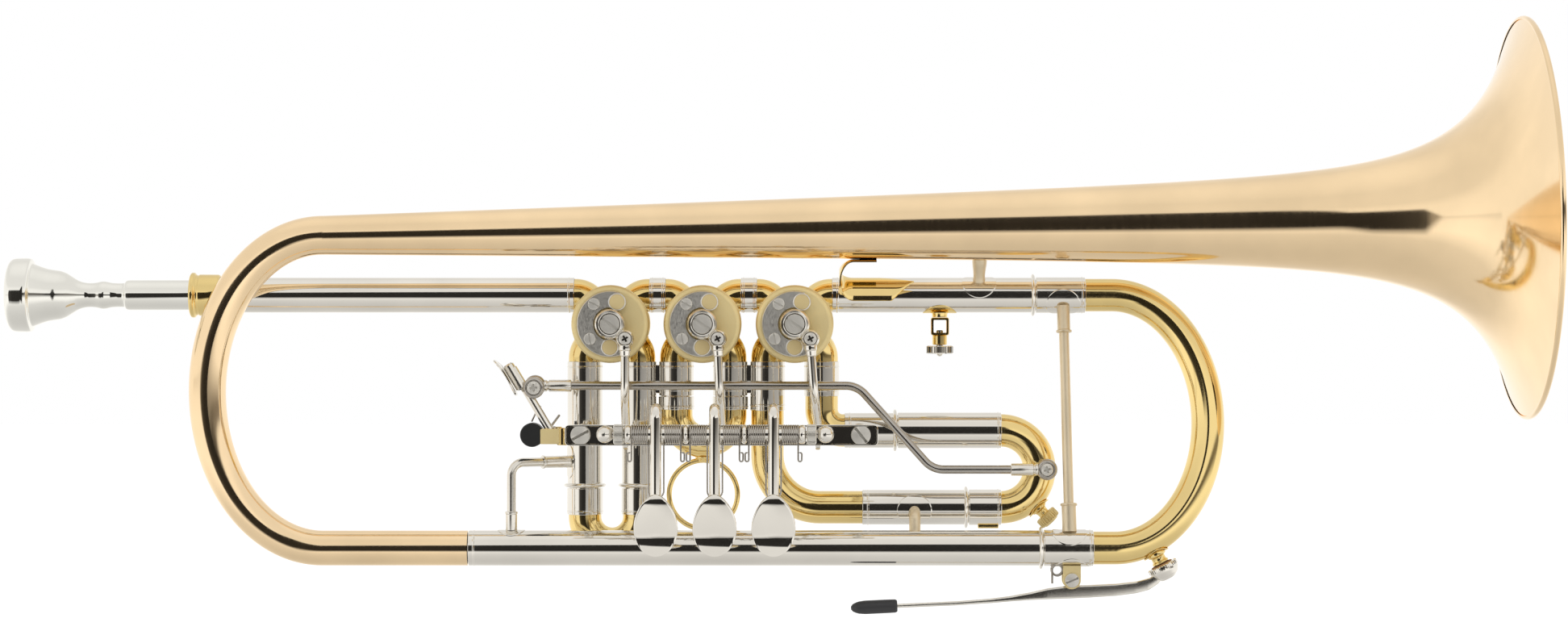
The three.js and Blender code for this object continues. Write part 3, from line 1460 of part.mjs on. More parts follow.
// Lyre holder: a square socket under the outlet tube, with a knurled screw below.
function lyreHolder() {
  const top = lineOffset - sleeveRadius - seat;
  const centreZ = top - flangeThickness - lyreBlock / 2 - edgeRound;
  const axis = at(lyreX, 0, 0);
  const flange = disc(lyreFlange, top - flangeThickness, top, Z, axis);
  const stem = disc(lyreNeck, top - flangeThickness - overrun, top, Z, axis, smallSides);
  const body = block(lyreBlock, lyreBlock, lyreBlock, at(lyreX, 0, centreZ));
  const hole = block(lyreHole, lyreBlock + overrun, lyreHole, at(lyreX, 0, centreZ));
  const under = centreZ - lyreBlock / 2;
  const neck = disc(lyreNeck, under - lyreNeckLength, under + edgeRound / 2, Z, axis, smallSides);
  const bore = lyreShank + pinClearance;
  const thread = disc(bore, under - lyreNeckLength - overrun, centreZ, Z, axis, smallSides);
  return cut(join(flange, stem, body, neck), hole, thread);
}
function lyreScrew() {
  const blockTop = lineOffset - sleeveRadius - seat - flangeThickness - edgeRound;
  const top = blockTop - lyreBlock - lyreNeckLength - seat;
  const tip = top + lyreNeckLength + seat + (lyreBlock - lyreHole) / 2;
  const profile = [
    [0, top - lyreScrewHead],
    [lyreScrewRadius, top - lyreScrewHead],
    [lyreScrewRadius, top],
    [lyreShank, top],
    [lyreShank, tip],
    [0, tip],
  ];
  return turned(profile, Z, roundSides).translate([lyreX, 0, 0]);
}
piece("lyre_holder", lyreHolder(), nickelSilver);
piece("lyre_screw", lyreScrew(), nickelSilver);

// Finger hook: a curled strip under the bell whose leaf stands in front of the outlet tube.
function fingerHook() {
  const top = bellAxisAt(hookX) - bellRadiusAt(rimX - hookX) - seat - hookThickness / 2;
  const drop = top - hookLeafZ;
  const shape = new THREE.Shape();
  const outer = drop / 2 + hookThickness / 2;
  const inner = drop / 2 - hookThickness / 2;
  const back = at(-hookRoot, 0, top - drop / 2);
  shape.moveTo(0, outer);
  shape.lineTo(-hookRoot, outer);
  shape.absarc(-hookRoot, 0, outer, rightAngle, rightAngle * 3, false);
  shape.lineTo(hookReach, -outer);
  shape.lineTo(hookReach, -inner);
  shape.lineTo(-hookRoot, -inner);
  shape.absarc(-hookRoot, 0, inner, rightAngle * 3, rightAngle, true);
  shape.lineTo(0, inner);
  const options = { depth: hookWidth, bevelEnabled: false, curveSegments: curlSegments };
  const geometry = new THREE.ExtrudeGeometry(shape, options);
  geometry.rotateX(rightAngle);
  geometry.translate(hookX, -bottomDepth + hookWidth / 2, back.z);
  return solidOf(geometry);
}
piece("finger_hook", fingerHook(), yellowBrass);

export default trumpet;
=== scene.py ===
"""Dresses the CAD frame of a rotary valve trumpet with its finished surfaces.

Lengths in the making are millimetres, +Z up, +X towards the bell and +Y away from the camera.
"""

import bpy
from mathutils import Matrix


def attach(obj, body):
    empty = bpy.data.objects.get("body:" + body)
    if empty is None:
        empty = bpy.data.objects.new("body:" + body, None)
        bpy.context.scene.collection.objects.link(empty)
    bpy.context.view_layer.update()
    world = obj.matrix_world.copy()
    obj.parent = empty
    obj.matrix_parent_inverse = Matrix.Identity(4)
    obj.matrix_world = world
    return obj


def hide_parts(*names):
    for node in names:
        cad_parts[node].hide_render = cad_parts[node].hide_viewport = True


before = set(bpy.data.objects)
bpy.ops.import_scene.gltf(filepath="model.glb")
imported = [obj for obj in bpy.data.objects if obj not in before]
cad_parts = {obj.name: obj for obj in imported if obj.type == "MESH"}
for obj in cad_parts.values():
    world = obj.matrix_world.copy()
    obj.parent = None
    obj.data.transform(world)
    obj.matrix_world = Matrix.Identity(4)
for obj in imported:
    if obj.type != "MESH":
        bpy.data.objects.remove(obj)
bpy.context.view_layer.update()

import math
from types import SimpleNamespace

import bmesh
import bpy
from mathutils import Matrix, Vector

bl_info = {
    "name": "Rotary valve trumpet",
    "version": (1, 0, 0),
    "blender": (4, 5, 0),
    "location": "3D View > Sidebar > Trumpet",
    "description": "Dresses the CAD frame of a rotary valve trumpet, group by group",
    "category": "Add Mesh",
}

MM = 0.001
RIGHT = Vector((1, 0, 0))
LEFT = -RIGHT
BACK = Vector((0, 1, 0))
FRONT = -BACK
UP = Vector((0, 0, 1))
DOWN = -UP

# Finishes, by the names of their materials
GOLD_BRASS = "gold_brass_spun_lacquered"
YELLOW_BRASS = "yellow_brass_drawn_lacquered"
TURNED_BRASS = "yellow_brass_turned_matt"
NICKEL_TUBE = "nickel_silver_drawn_polished"
NICKEL_CAST = "nickel_silver_milled_satin"
NICKEL_MATT = "nickel_silver_faced_matt"
NICKEL_TURNED = "nickel_silver_turned_bright"
NICKEL_WARM = "nickel_silver_drawn_tarnished"
STEEL = "steel_drawn_ground"
SILVER = "brass_silver_plated"
RUBBER = "nitrile_rubber_moulded"
CORK = "cork_cut"
BUMPER = "neoprene_bumper_cut"
ACETAL = "acetal_turned_black"

# The valves, and the tubes that meet them, as the CAD frame places them
VALVE_X = (-32.3, 0.0, 32.3)
LINE_Z = 10.2
LEG_OFFSET = 9.6
FIRST_LEG_X = VALVE_X[0] - LEG_OFFSET
SLEEVE_TOP = -13.3
STOP_ARM = Vector((5.5, 0, -5.1))

# The keys: their places on the axle, their slope at rest, their hubs, rear arms and links
KEY_X = (-15.44, 4.76, 24.96)
AXLE = Vector((0, -37.0, -38.03))
KEY_REST = math.radians(8)
HUB_LEFT, HUB_RIGHT, HUB_HALF = -26.54, 36.06, 8.5
COLLAR_WIDTH = 2.6
REAR_ARM = 23.0
REAR_SPACING = 9.8
LINK_FEET = (5.4, 6.8, 8.15)
LINK_Y = -14.7

# The key springs, wound from a wire on both sides of a loop
SPRING_TURNS = 7.75
SPRING_RADIUS = 3.1
SPRING_PITCH = 0.76
SPRING_SPREAD = 2.6
SPRING_FOOT = 8.6

# The third slide's two level runs and its bow, its push rod and its trigger
UPPER_ELBOW_X, UPPER_MOUTH_X, UPPER_Z = 50.0, 68.6, -37.7
LOWER_ELBOW_X, LOWER_MOUTH_X, LOWER_Z = 56.3, 93.7, -64.9
THIRD_BOW_X = 105.4
ROD_END = Vector((121.1, 0, -51.2))
TRIGGER_PIVOT = Vector((-52.4, 0, -38.8))

# The bell: its plane, the height of its tail, where it meets its bow, and how its axis rises
LOW_PLANE = -14.0
BOTTOM_Z = -78.5
BOW_X = -133.2
BELL_RISE = 31.1
BELL_TILT = math.radians(0.83)

# The bell's radius is a slow taper and a steep flare, added up
BELL_TAPER = 0.0214
BELL_CURVE = 3.25

# The tuning bow, half an oval, and the water key's pin
TUNING_X = 144.6
TUNING_REACH = 33.3
WATER_PIVOT = Vector((129.3, LOW_PLANE, -89.6))

# How far apart a metal's clouds of tarnish lie, and how much they darken it
CLOUD_SIZE = 28
CLOUD_SHADE = 2.2


def length(name, text, millimetres):
    """A length that the user can change, its default given in millimetres."""
    return bpy.props.FloatProperty(
        name=name, description=text, default=millimetres * MM, min=0, precision=5, unit="LENGTH"
    )


def linear(hex_colour):
    """An sRGB hex colour as the linear colour that a shader takes."""
    parts = [int(hex_colour[i : i + 2], 16) / 255 for i in (1, 3, 5)]
    return [c / 12.92 if c <= 0.04045 else ((c + 0.055) / 1.055) ** 2.4 for c in parts] + [1.0]


def colour(name, text, hex_colour):
    """A colour that the user can change, its default given in sRGB."""
    return bpy.props.FloatVectorProperty(
        name=name, description=text, default=linear(hex_colour), size=4, min=0, max=1, subtype="COLOR"
    )


class TrumpetTubes(bpy.types.PropertyGroup):
    tube: length("Tube radius", "Outer radius of the bows and knuckles", 5.8)
    sleeve: length("Sleeve radius", "Outer radius of the straight tubes and slide sleeves", 6.2)
    bore: length("Sleeve bore", "Inner radius of the sleeves", 5.85)
    leg: length("Leg radius", "Outer radius of the legs that slide in the sleeves", 5.55)
    ferrule: length("Ferrule radius", "Outer radius of the rings that join tubes", 6.35)
    bead: length("Bead radius", "Outer radius of the bead round a sleeve's mouth", 7.5)
    bead_width: length("Bead width", "Width of the bead along the tube", 1.5)
    seam: length("Seam height", "How far the solder ring of a joint stands out", 0.13)


class TrumpetBell(bpy.types.PropertyGroup):
    stem: length("Stem radius", "Radius that the taper of the bell starts from", 15.8)
    flare: length("Flare", "How far the flare opens at the rim", 54.2)
    throat: length("Throat", "Length over which the flare opens", 55.2)
    wall: length("Wall", "Thickness of the bell's sheet", 0.6)
    rim: length("Rim wire", "Radius of the rolled rim", 1.1)
    rim_x: length("Rim position", "Distance of the rim from the middle valve", 287.4)
    tail: length("Tail radius", "Radius of the bell's thin end", 6.15)


class TrumpetValves(bpy.types.PropertyGroup):
    casing: length("Casing radius", "Outer radius of a valve casing", 12.0)
    cap: length("Front cap radius", "Outer radius of the front cap", 13.65)
    back_cap: length("Back cap radius", "Outer radius of the back cap", 13.0)
    plate: length("Stop plate radius", "Outer radius of the nickel stop plate", 11.5)
    plate_screw: length("Plate screw radius", "Radius of the screws in the stop plate", 2.1)
    hub: length("Stop arm hub radius", "Radius of the hub on the rotor's spindle", 5.2)
    spindle_screw: length("Spindle screw radius", "Radius of the slotted screw in the hub", 3.5)
    joint: length("Ball joint radius", "Radius of the round joint on the stop arm", 3.2)
    link: length("Link radius", "Radius of the link's rod", 1.5)


class TrumpetKeys(bpy.types.PropertyGroup):
    touch_width: length("Touch width", "Width of a finger touch", 15.0)
    touch_height: length("Touch height", "Height of a finger touch", 20.8)
    touch_thickness: length("Touch thickness", "Thickness of a finger touch at its edge", 1.1)
    touch_crown: length("Touch crown", "How far the face of the touch bulges", 0.2)
    arm: length("Arm radius", "Radius of a key's arm", 1.9)
    hub: length("Hub radius", "Radius of a key's hub", 2.3)
    collar: length("Collar radius", "Radius of the collars on the axle", 3.3)
    nut: length("Nut radius", "Radius of the knurled nuts", 3.5)
    wire: length("Spring wire", "Thickness of the springs' wire", 0.6)
    rail_screw: length("Rail screw radius", "Radius of the slotted screws of the rail", 3.4)


class TrumpetColours(bpy.types.PropertyGroup):
    gold_brass: colour("Gold brass", "Colour of the bell", "#FFE3B9")
    yellow_brass: colour("Yellow brass", "Colour of the bows and knuckles", "#F7DC98")
    turned_brass: colour("Turned brass", "Colour of the valve caps", "#FFEDB8")
    nickel: colour("Nickel silver", "Colour of the straight tubes and keys", "#EFEBE3")
    satin_nickel: colour("Satin nickel silver", "Colour of the stop plates and screws", "#E6E3DC")
    warm_nickel: colour("Tarnished nickel silver", "Colour of the braces", "#F6E6C8")
    steel: colour("Steel", "Colour of the push rod, axle and springs", "#BDB8B1")
    silver: colour("Silver plate", "Colour of the mouthpiece", "#F3F2EC")
    rubber: colour("Rubber", "Colour of the water key's grip", "#2E2E30")
    cork: colour("Cork", "Colour of the water key's cork", "#A0764C")
    bumper: colour("Bumper", "Colour of the valve bumpers", "#CBB682")
    acetal: colour("Acetal", "Colour of the trigger's stop", "#1E1F1F")


def in_mm(group):
    """The lengths of a property group, in millimetres, by name."""
    lengths = [p.identifier for p in group.bl_rna.properties if p.type == "FLOAT" and p.unit == "LENGTH"]
    return SimpleNamespace(**{name: getattr(group, name) / MM for name in lengths})


class Path:
    """A centreline walked like a road, with a mark at each ring of the tube."""

    def __init__(self, start, heading):
        self.point = Vector(start)
        self.heading = Vector(heading).normalized()
        self.marks = []
        self.mark(1.0)

    def mark(self, scale=None):
        """Leaves a ring's mark here; scale widens or narrows the tube, and is kept from ring to ring."""
        kept = self.marks[-1][2] if scale is None else scale
        self.marks.append((self.point.copy(), self.heading.copy(), kept))
        return self

    def straight(self, distance, scale=None):
        self.point = self.point + self.heading * distance
        return self.mark(scale)

    def bend(self, radius, axis, angle, steps=16):
        axis = Vector(axis).normalized()
        inward = axis.cross(self.heading) * radius
        centre = self.point + inward
        first = self.heading.copy()
        for i in range(1, steps + 1):
            turn = Matrix.Rotation(angle * i / steps, 3, axis)
            self.point = centre - turn @ inward
            self.heading = turn @ first
            self.mark()
        return self

    def follow(self, place, steps, scale=lambda share: 1.0):
        """Walks along place, a curve from share 0 to share 1."""
        small = 0.001
        for i in range(1, steps + 1):
            share = i / steps
            self.point = Vector(place(share))
            self.heading = (Vector(place(share + small)) - Vector(place(share - small))).normalized()
            self.mark(scale(share))
        return self


def arc(a, corner, c, steps):
    """Points along the curve from a to c that cuts the corner between them."""
    shares = [k / steps for k in range(steps + 1)]
    return [a * (1 - s) ** 2 + corner * 2 * s * (1 - s) + c * s * s for s in shares]


def through(points, rounding, steps=6):
    """A path through points, its corners rounded over that distance."""
    points = [Vector(p) for p in points]
    path = Path(points[0], points[1] - points[0])
    for before, corner, after in zip(points, points[1:], points[2:]):
        coming, going = corner - before, after - corner
        cut = min(rounding, coming.length / 2, going.length / 2)
        coming.normalize()
        going.normalize()
        for k, point in enumerate(arc(corner - coming * cut, corner, corner + going * cut, steps)):
            path.point = point
            path.heading = coming.lerp(going, k / steps).normalized()
            path.mark()
    path.point = points[-1]
    path.heading = (points[-1] - points[-2]).normalized()
    return path.mark()


def perpendicular(direction):
    """A unit vector at right angles to a direction."""
    other = UP if abs(direction.z) < 0.9 else RIGHT
    return direction.cross(other).normalized()


def rounded(profile, radius, steps=3, closed=False):
    """A profile with its corners rounded."""
    points = [Vector(p) for p in profile]
    count = len(points)
    made = []
    for i, corner in enumerate(points):
        if not closed and i in (0, count - 1):
            made.append(corner)
            continue
        before, after = points[i - 1], points[(i + 1) % count]
        to_before, to_after = before - corner, after - corner
        if to_before.length < 1e-6 or to_after.length < 1e-6:
            made.append(corner)
            continue
        cut = min(radius, to_before.length * 0.45, to_after.length * 0.45)
        start, end = corner + to_before.normalized() * cut, corner + to_after.normalized() * cut
        made += arc(start, corner, end, steps)
    return [tuple(p) for p in made]


def inset(outline, amount):
    """An outline moved inwards; it runs counterclockwise."""
    points = [Vector(p) for p in outline]
    moved = []
    for i, p in enumerate(points):
        along = (points[(i + 1) % len(points)] - points[i - 1]).normalized()
        moved.append(p + Vector((-along.y, along.x)) * amount)
    return moved


def angles(sides):
    """Evenly spaced angles, once round."""
    return [2 * math.pi * i / sides for i in range(sides)]


def ring_round(centre, across, side, radii):
    """Evenly spaced points round a centre, one for each radius."""
    return [
        centre + (across * math.cos(turn) + side * math.sin(turn)) * radius
        for turn, radius in zip(angles(len(radii)), radii)
    ]


def round_outline(radius, sides):
    return [(radius * math.cos(turn), radius * math.sin(turn)) for turn in angles(sides)]


def box_outline(width, height, corner, steps=4):
    """A box with rounded corners, counterclockwise."""
    half = Vector((width / 2, height / 2))
    corners = [(half.x, half.y), (-half.x, half.y), (-half.x, -half.y), (half.x, -half.y)]
    return rounded(corners, corner, steps, closed=True)


def facing_front(line, x, y, z, amount):
    """An outline moved inwards and stood up to face the front, its middle at x, y, z."""
    line = inset(line, amount) if amount else line
    return [(x + p[0], y, z + p[1]) for p in line]


class Shape:
    """Gathers the surfaces of one piece, in millimetres, each with its finish."""

    def __init__(self):
        self.points = []
        self.faces = []
        self.marks = []
        self.finishes = []

    def skin(self, rings, finish, caps=True, wrap=False):
        """Stretches a surface over rings that have the same number of points."""
        if finish not in self.finishes:
            self.finishes.append(finish)
        index = self.finishes.index(finish)
        count = len(rings[0])
        first = len(self.points)
        for ring in rings:
            self.points.extend(Vector(p) * MM for p in ring)
        pairs = [(i, i + 1) for i in range(len(rings) - 1)]
        if wrap:
            pairs.append((len(rings) - 1, 0))
        faces = []
        for a, b in pairs:
            for k in range(count):
                n = (k + 1) % count
                corners = (a * count + k, a * count + n, b * count + n, b * count + k)
                faces.append([first + c for c in corners])
        if caps and not wrap:
            faces.append([first + k for k in range(count)][::-1])
            faces.append([first + (len(rings) - 1) * count + k for k in range(count)])
        self.faces.extend(faces)
        self.marks.extend([index] * len(faces))

    def turned(self, profile, centre, axis, finish, sides=64, wrap=False):
        """A turned surface: profile points are (radius, distance along the axis)."""
        axis = Vector(axis).normalized()
        across = perpendicular(axis)
        side = axis.cross(across)
        centre = Vector(centre)
        rings = [ring_round(centre + axis * along, across, side, [r] * sides) for r, along in profile]
        self.skin(rings, finish, profile[0][0] > 0 and profile[-1][0] > 0, wrap)

    def swept(self, path, radius, finish, sides=32):
        """A rod or tube along a path."""
        outline = round_outline(radius, sides)
        previous = path.marks[0][1]
        normal = perpendicular(previous)
        rings = []
        for point, heading, scale in path.marks:
            normal = previous.rotation_difference(heading) @ normal
            normal = (normal - heading * normal.dot(heading)).normalized()
            side = heading.cross(normal)
            rings.append([point + (normal * a + side * b) * scale for a, b in outline])
            previous = heading
        self.skin(rings, finish)

    def rod(self, start, end, radius, finish, sides=32, edge=0.25):
        """A straight rod with broken edges."""
        start, end = Vector(start), Vector(end)
        along = (end - start).length
        edge = min(edge, along / 3, radius / 2)
        profile = [(0, 0), (radius - edge, 0), (radius, edge), (radius, along - edge)]
        self.turned(profile + [(radius - edge, along), (0, along)], start, end - start, finish, sides)

    def plate(self, outline, origin, right, up, thickness, finish, edge=0.2):
        """A flat plate: its outline lies along right and up, its thickness along right x up."""
        origin, right, up = Vector(origin), Vector(right).normalized(), Vector(up).normalized()
        out = right.cross(up)
        edge = min(edge, thickness / 2.5)
        levels = [(edge, 0), (0, edge), (0, thickness - edge), (edge, thickness)]
        rings = []
        for amount, height in levels:
            line = inset(outline, amount) if amount else [Vector(p) for p in outline]
            rings.append([origin + right * p.x + up * p.y + out * height for p in line])
        self.skin(rings, finish)

    def ball(self, radius, centre, finish, sides=40):
        """A turned ball."""
        turns = [math.pi * i / 20 for i in range(1, 20)]
        profile = [(radius * math.sin(turn), -radius * math.cos(turn)) for turn in turns]
        self.turned([(0, -radius), *profile, (0, radius)], centre, UP, finish, sides)

    def screw(self, centre, axis, radius, height, finish, cross=False, angle=0.0, dome=0.2):
        """A screw head with a slot or a cross in it, its foot at the centre."""
        sides = 96
        axis = Vector(axis).normalized()
        across = RIGHT if abs(axis.x) < 0.9 else BACK
        side = axis.cross(across).normalized()
        across = side.cross(axis)
        arm, half = (radius * 0.56, radius * 0.16) if cross else (radius * 0.93, radius * 0.13)
        ways = (angle, angle + math.pi / 2) if cross else (angle,)

        def reach(turn, way):
            c, s = abs(math.cos(turn - way)), abs(math.sin(turn - way))
            return min(arm / max(c, 1e-6), half / max(s, 1e-6))

        slot = [max(reach(turn, way) for way in ways) for turn in angles(sides)]
        edge = min(0.3, height / 2)
        levels = [([radius * 0.96] * sides, 0), ([radius] * sides, 0.08)]
        for k in range(5):
            turn = k / 4 * math.pi / 2
            r = radius - edge * (1 - math.cos(turn))
            levels.append(([r] * sides, height - edge + edge * math.sin(turn)))
        levels.append(([max(r, (r + radius) / 2) for r in slot], height + dome * 0.6))
        levels += [(slot, height + dome), (slot, height * 0.35)]
        centre = Vector(centre)
        self.skin([ring_round(centre + axis * level, across, side, radii) for radii, level in levels], finish)

    def knurled(self, centre, axis, radius, width, finish, teeth=40, depth=0.25):
        """A knurled ring or knob, cut with straight teeth."""
        axis = Vector(axis).normalized()
        across = perpendicular(axis)
        side = axis.cross(across)
        chamfer, slope = 0.45, 0.35
        rings = []
        for shrink, level in ((chamfer, 0), (0, slope), (0, width - slope), (chamfer, width)):
            high, low = radius - shrink, radius - depth - shrink
            middle = Vector(centre) + axis * level
            rings.append(ring_round(middle, across, side, [high, high, low, low] * teeth))
        self.skin(rings, finish)

    def place(self, name, body, *nodes, slot=None, sharp=34):
        """Makes the Blender object, in metres, on its body; it stands for the CAD nodes."""
        mesh = bpy.data.meshes.new(name)
        mesh.from_pydata(self.points, [], self.faces)
        for finish in self.finishes:
            mesh.materials.append(bpy.data.materials[finish])
        mesh.polygons.foreach_set("material_index", self.marks)
        work = bmesh.new()
        work.from_mesh(mesh)
        bmesh.ops.remove_doubles(work, verts=work.verts, dist=1e-7)
        bmesh.ops.dissolve_degenerate(work, dist=1e-8, edges=work.edges)
        bmesh.ops.recalc_face_normals(work, faces=work.faces)
        work.to_mesh(mesh)
        work.free()
        mesh.shade_smooth()
        mesh.set_sharp_from_angle(angle=math.radians(sharp))
        obj = bpy.data.objects.new(name, mesh)
        bpy.context.scene.collection.objects.link(obj)
        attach(obj, body)
        if nodes:
            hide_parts(*nodes)
        return obj


def cut_out(obj, tool):
    """Cuts the tool's shape out of a piece, and removes the tool."""
    mesh = bpy.data.meshes.new("tool")
    mesh.from_pydata(tool.points, [], tool.faces)
    work = bmesh.new()
    work.from_mesh(mesh)
    bmesh.ops.recalc_face_normals(work, faces=work.faces)
    work.to_mesh(mesh)
    work.free()
    for finish in obj.data.materials:
        mesh.materials.append(finish)
    cutter = bpy.data.objects.new("tool", mesh)
    bpy.context.scene.collection.objects.link(cutter)
    modifier = obj.modifiers.new("Cut", "BOOLEAN")
    modifier.operation = "DIFFERENCE"
    modifier.solver = "EXACT"
    modifier.object = cutter
    bpy.context.view_layer.update()
    ready = obj.evaluated_get(bpy.context.evaluated_depsgraph_get())
    made = bpy.data.meshes.new_from_object(ready)
    obj.modifiers.remove(modifier)
    obj.data = made
    made.shade_smooth()
    made.set_sharp_from_angle(angle=math.radians(34))
    bpy.data.objects.remove(cutter)


# Materials


def add(tree, kind, links=None, **settings):
    """Adds a node: settings name its properties or sockets, links feed its sockets."""
    node = tree.nodes.new(kind)
    for name, value in settings.items():
        if hasattr(node, name):
            setattr(node, name, value)
        else:
            node.inputs[name.replace("_", " ")].default_value = value
    for name, source in (links or {}).items():
        tree.links.new(source, node.inputs[name])
    return node


def new_material(name, **settings):
    """A material with its surface shader, whose constants are set on the shader itself."""
    material = bpy.data.materials.new(name)
    material.use_nodes = True
    tree = material.node_tree
    tree.nodes.clear()
    output = add(tree, "ShaderNodeOutputMaterial")
    shader = add(tree, "ShaderNodeBsdfPrincipled")
    for socket, value in settings.items():
        shader.inputs[socket.replace("_", " ")].default_value = value
    tree.links.new(shader.outputs["BSDF"], output.inputs["Surface"])
    place = add(tree, "ShaderNodeTexCoord").outputs["Object"]
    return tree, shader, place


def metal(name, tint, roughness, spread, streak=(1, 1, 1), grain=0.25, depth=0.0, cloud=0.04):
    """A metal: tint clouded over centimetres, with polishing or machining marks in its gloss.

    grain is the marks' spacing in millimetres, streak how they are drawn out along X, Y and Z,
    and depth how deep they are, in millimetres."""
    tree, shader, place = new_material(name, Metallic=1.0)
    shade = [c * (1 - CLOUD_SHADE * cloud) for c in tint[:3]] + [1]
    patches = add(tree, "ShaderNodeTexNoise", {"Vector": place}, Scale=1 / (CLOUD_SIZE * MM), Detail=3.0)
    mixed = add(tree, "ShaderNodeValToRGB", {"Fac": patches.outputs["Fac"]})
    for element, position, tone in zip(mixed.color_ramp.elements, (0.35, 0.65), (shade, tint)):
        element.position = position
        element.color = tone
    tree.links.new(mixed.outputs["Color"], shader.inputs["Base Color"])
    stretched = add(tree, "ShaderNodeMapping", {"Vector": place}, Scale=streak).outputs["Vector"]
    marks = add(tree, "ShaderNodeTexNoise", {"Vector": stretched}, Scale=1 / (grain * MM), Detail=4.0)
    gloss = add(
        tree, "ShaderNodeMapRange", {"Value": marks.outputs["Fac"]},
        From_Min=0.3, From_Max=0.7, To_Min=roughness - spread, To_Max=roughness + spread,
    )
    tree.links.new(gloss.outputs["Result"], shader.inputs["Roughness"])
    if depth:
        height = {"Height": marks.outputs["Fac"]}
        bump = add(tree, "ShaderNodeBump", height, Strength=0.6, Distance=depth * MM)
        tree.links.new(bump.outputs["Normal"], shader.inputs["Normal"])


def grainy(tree, shader, place, grain, depth, detail, strength):
    """Raises a surface into grains of that size and depth, in millimetres."""
    skin = add(tree, "ShaderNodeTexNoise", {"Vector": place}, Scale=1 / (grain * MM), Detail=detail)
    height = {"Height": skin.outputs["Fac"]}
    bump = add(tree, "ShaderNodeBump", height, Strength=strength, Distance=depth * MM)
    tree.links.new(bump.outputs["Normal"], shader.inputs["Normal"])


def make_finishes(colours):
    """Mixes every finish of the instrument."""
    # Gold brass, spun over a mandrel and clear lacquered: a warm rosy gold with a liquid gloss.
    metal(GOLD_BRASS, colours.gold_brass, 0.1, 0.02, streak=(1, 0.15, 0.15), grain=0.8)
    # Yellow brass, drawn into tube and lacquered: a yellower gold, sharp reflections along the tube.
    metal(YELLOW_BRASS, colours.yellow_brass, 0.085, 0.02, grain=0.7, cloud=0.06)
    # Yellow brass, turned on a lathe and left matt: a soft sheen that hides the lights.
    metal(TURNED_BRASS, colours.turned_brass, 0.62, 0.07, grain=0.35, depth=0.012, cloud=0.05)
    # Nickel silver, drawn and buffed: mirror bright, faintly yellow against chrome.
    metal(NICKEL_TUBE, colours.nickel, 0.07, 0.02, grain=0.6, cloud=0.03)
    # Nickel silver, milled and brushed: greyer, with fine scratches that spread the light.
    metal(NICKEL_CAST, colours.satin_nickel, 0.37, 0.08, streak=(1, 1, 0.35), grain=0.3, depth=0.003)
    # Nickel silver, turned and buffed lightly: bright, its reflections a little blurred.
    metal(NICKEL_TURNED, colours.nickel, 0.19, 0.05, grain=0.3, depth=0.004)
    # Nickel silver, faced on a lathe: pale, with tool marks that spread the light widely.
    metal(NICKEL_MATT, colours.satin_nickel, 0.5, 0.08, grain=0.25, depth=0.008)
    # Nickel silver, drawn and left unbuffed: a yellowish sheen that hides the lights.
    metal(NICKEL_WARM, colours.warm_nickel, 0.48, 0.06, streak=(1, 1, 0.15), grain=0.3, depth=0.003)
    # Steel, drawn and ground: a dull grey sheen with marks along the rod.
    metal(STEEL, colours.steel, 0.17, 0.04, streak=(0.1, 1, 1), grain=0.25, depth=0.0015)
    # Silver plate on brass, buffed: nearly white and clean.
    metal(SILVER, colours.silver, 0.06, 0.015, grain=0.6, cloud=0.015)

    # Nitrile rubber, dip moulded: a soft black with a dull bloom.
    made = new_material(RUBBER, Base_Color=colours.rubber, Roughness=0.48, IOR=1.52)
    grainy(*made, grain=0.7, depth=0.03, detail=3.0, strength=0.3)

    # Cork, cut across: warm tan with dark pores about a millimetre apart.
    tree, shader, place = new_material(CORK, Roughness=0.85, IOR=1.4)
    pores = add(tree, "ShaderNodeTexVoronoi", {"Vector": place}, Scale=1 / (0.9 * MM)).outputs["Distance"]
    tan = add(tree, "ShaderNodeValToRGB", {"Fac": pores})
    pore, skin = tan.color_ramp.elements
    pore.color = [c * 0.45 for c in colours.cork[:3]] + [1]
    skin.position = 0.35
    skin.color = colours.cork
    tree.links.new(tan.outputs["Color"], shader.inputs["Base Color"])
    bump = add(tree, "ShaderNodeBump", {"Height": pores}, Strength=0.6, Distance=0.1 * MM)
    tree.links.new(bump.outputs["Normal"], shader.inputs["Normal"])

    # Neoprene cord, cut with a knife: an olive rubber, its cut face a little rough.
    made = new_material(BUMPER, Base_Color=colours.bumper, Roughness=0.5, IOR=1.52)
    grainy(*made, grain=0.4, depth=0.05, detail=4.0, strength=0.5)

    # Acetal, turned: black, its face finely roughened by the tool, which catches the light.
    made = new_material(ACETAL, Base_Color=colours.acetal, Roughness=0.4, IOR=1.48)
    grainy(*made, grain=0.3, depth=0.04, detail=5.0, strength=0.5)


# Profiles and forms that several pieces share


def seam(radius, at, height, width=0.35):
    """The ring of solder at the edge of a joint: profile points over it."""
    top = radius + height
    return [(radius, at - width), (top, at - width / 2), (top, at + width / 2), (radius, at + width)]


def bead(radius, outer, start, width, steps=8):
    """The half-round bead at a sleeve's mouth: profile points over it."""
    points = []
    for i in range(steps + 1):
        turn = math.pi * i / steps
        points.append((radius + (outer - radius) * math.sin(turn), start + width / 2 * (1 - math.cos(turn))))
    return points


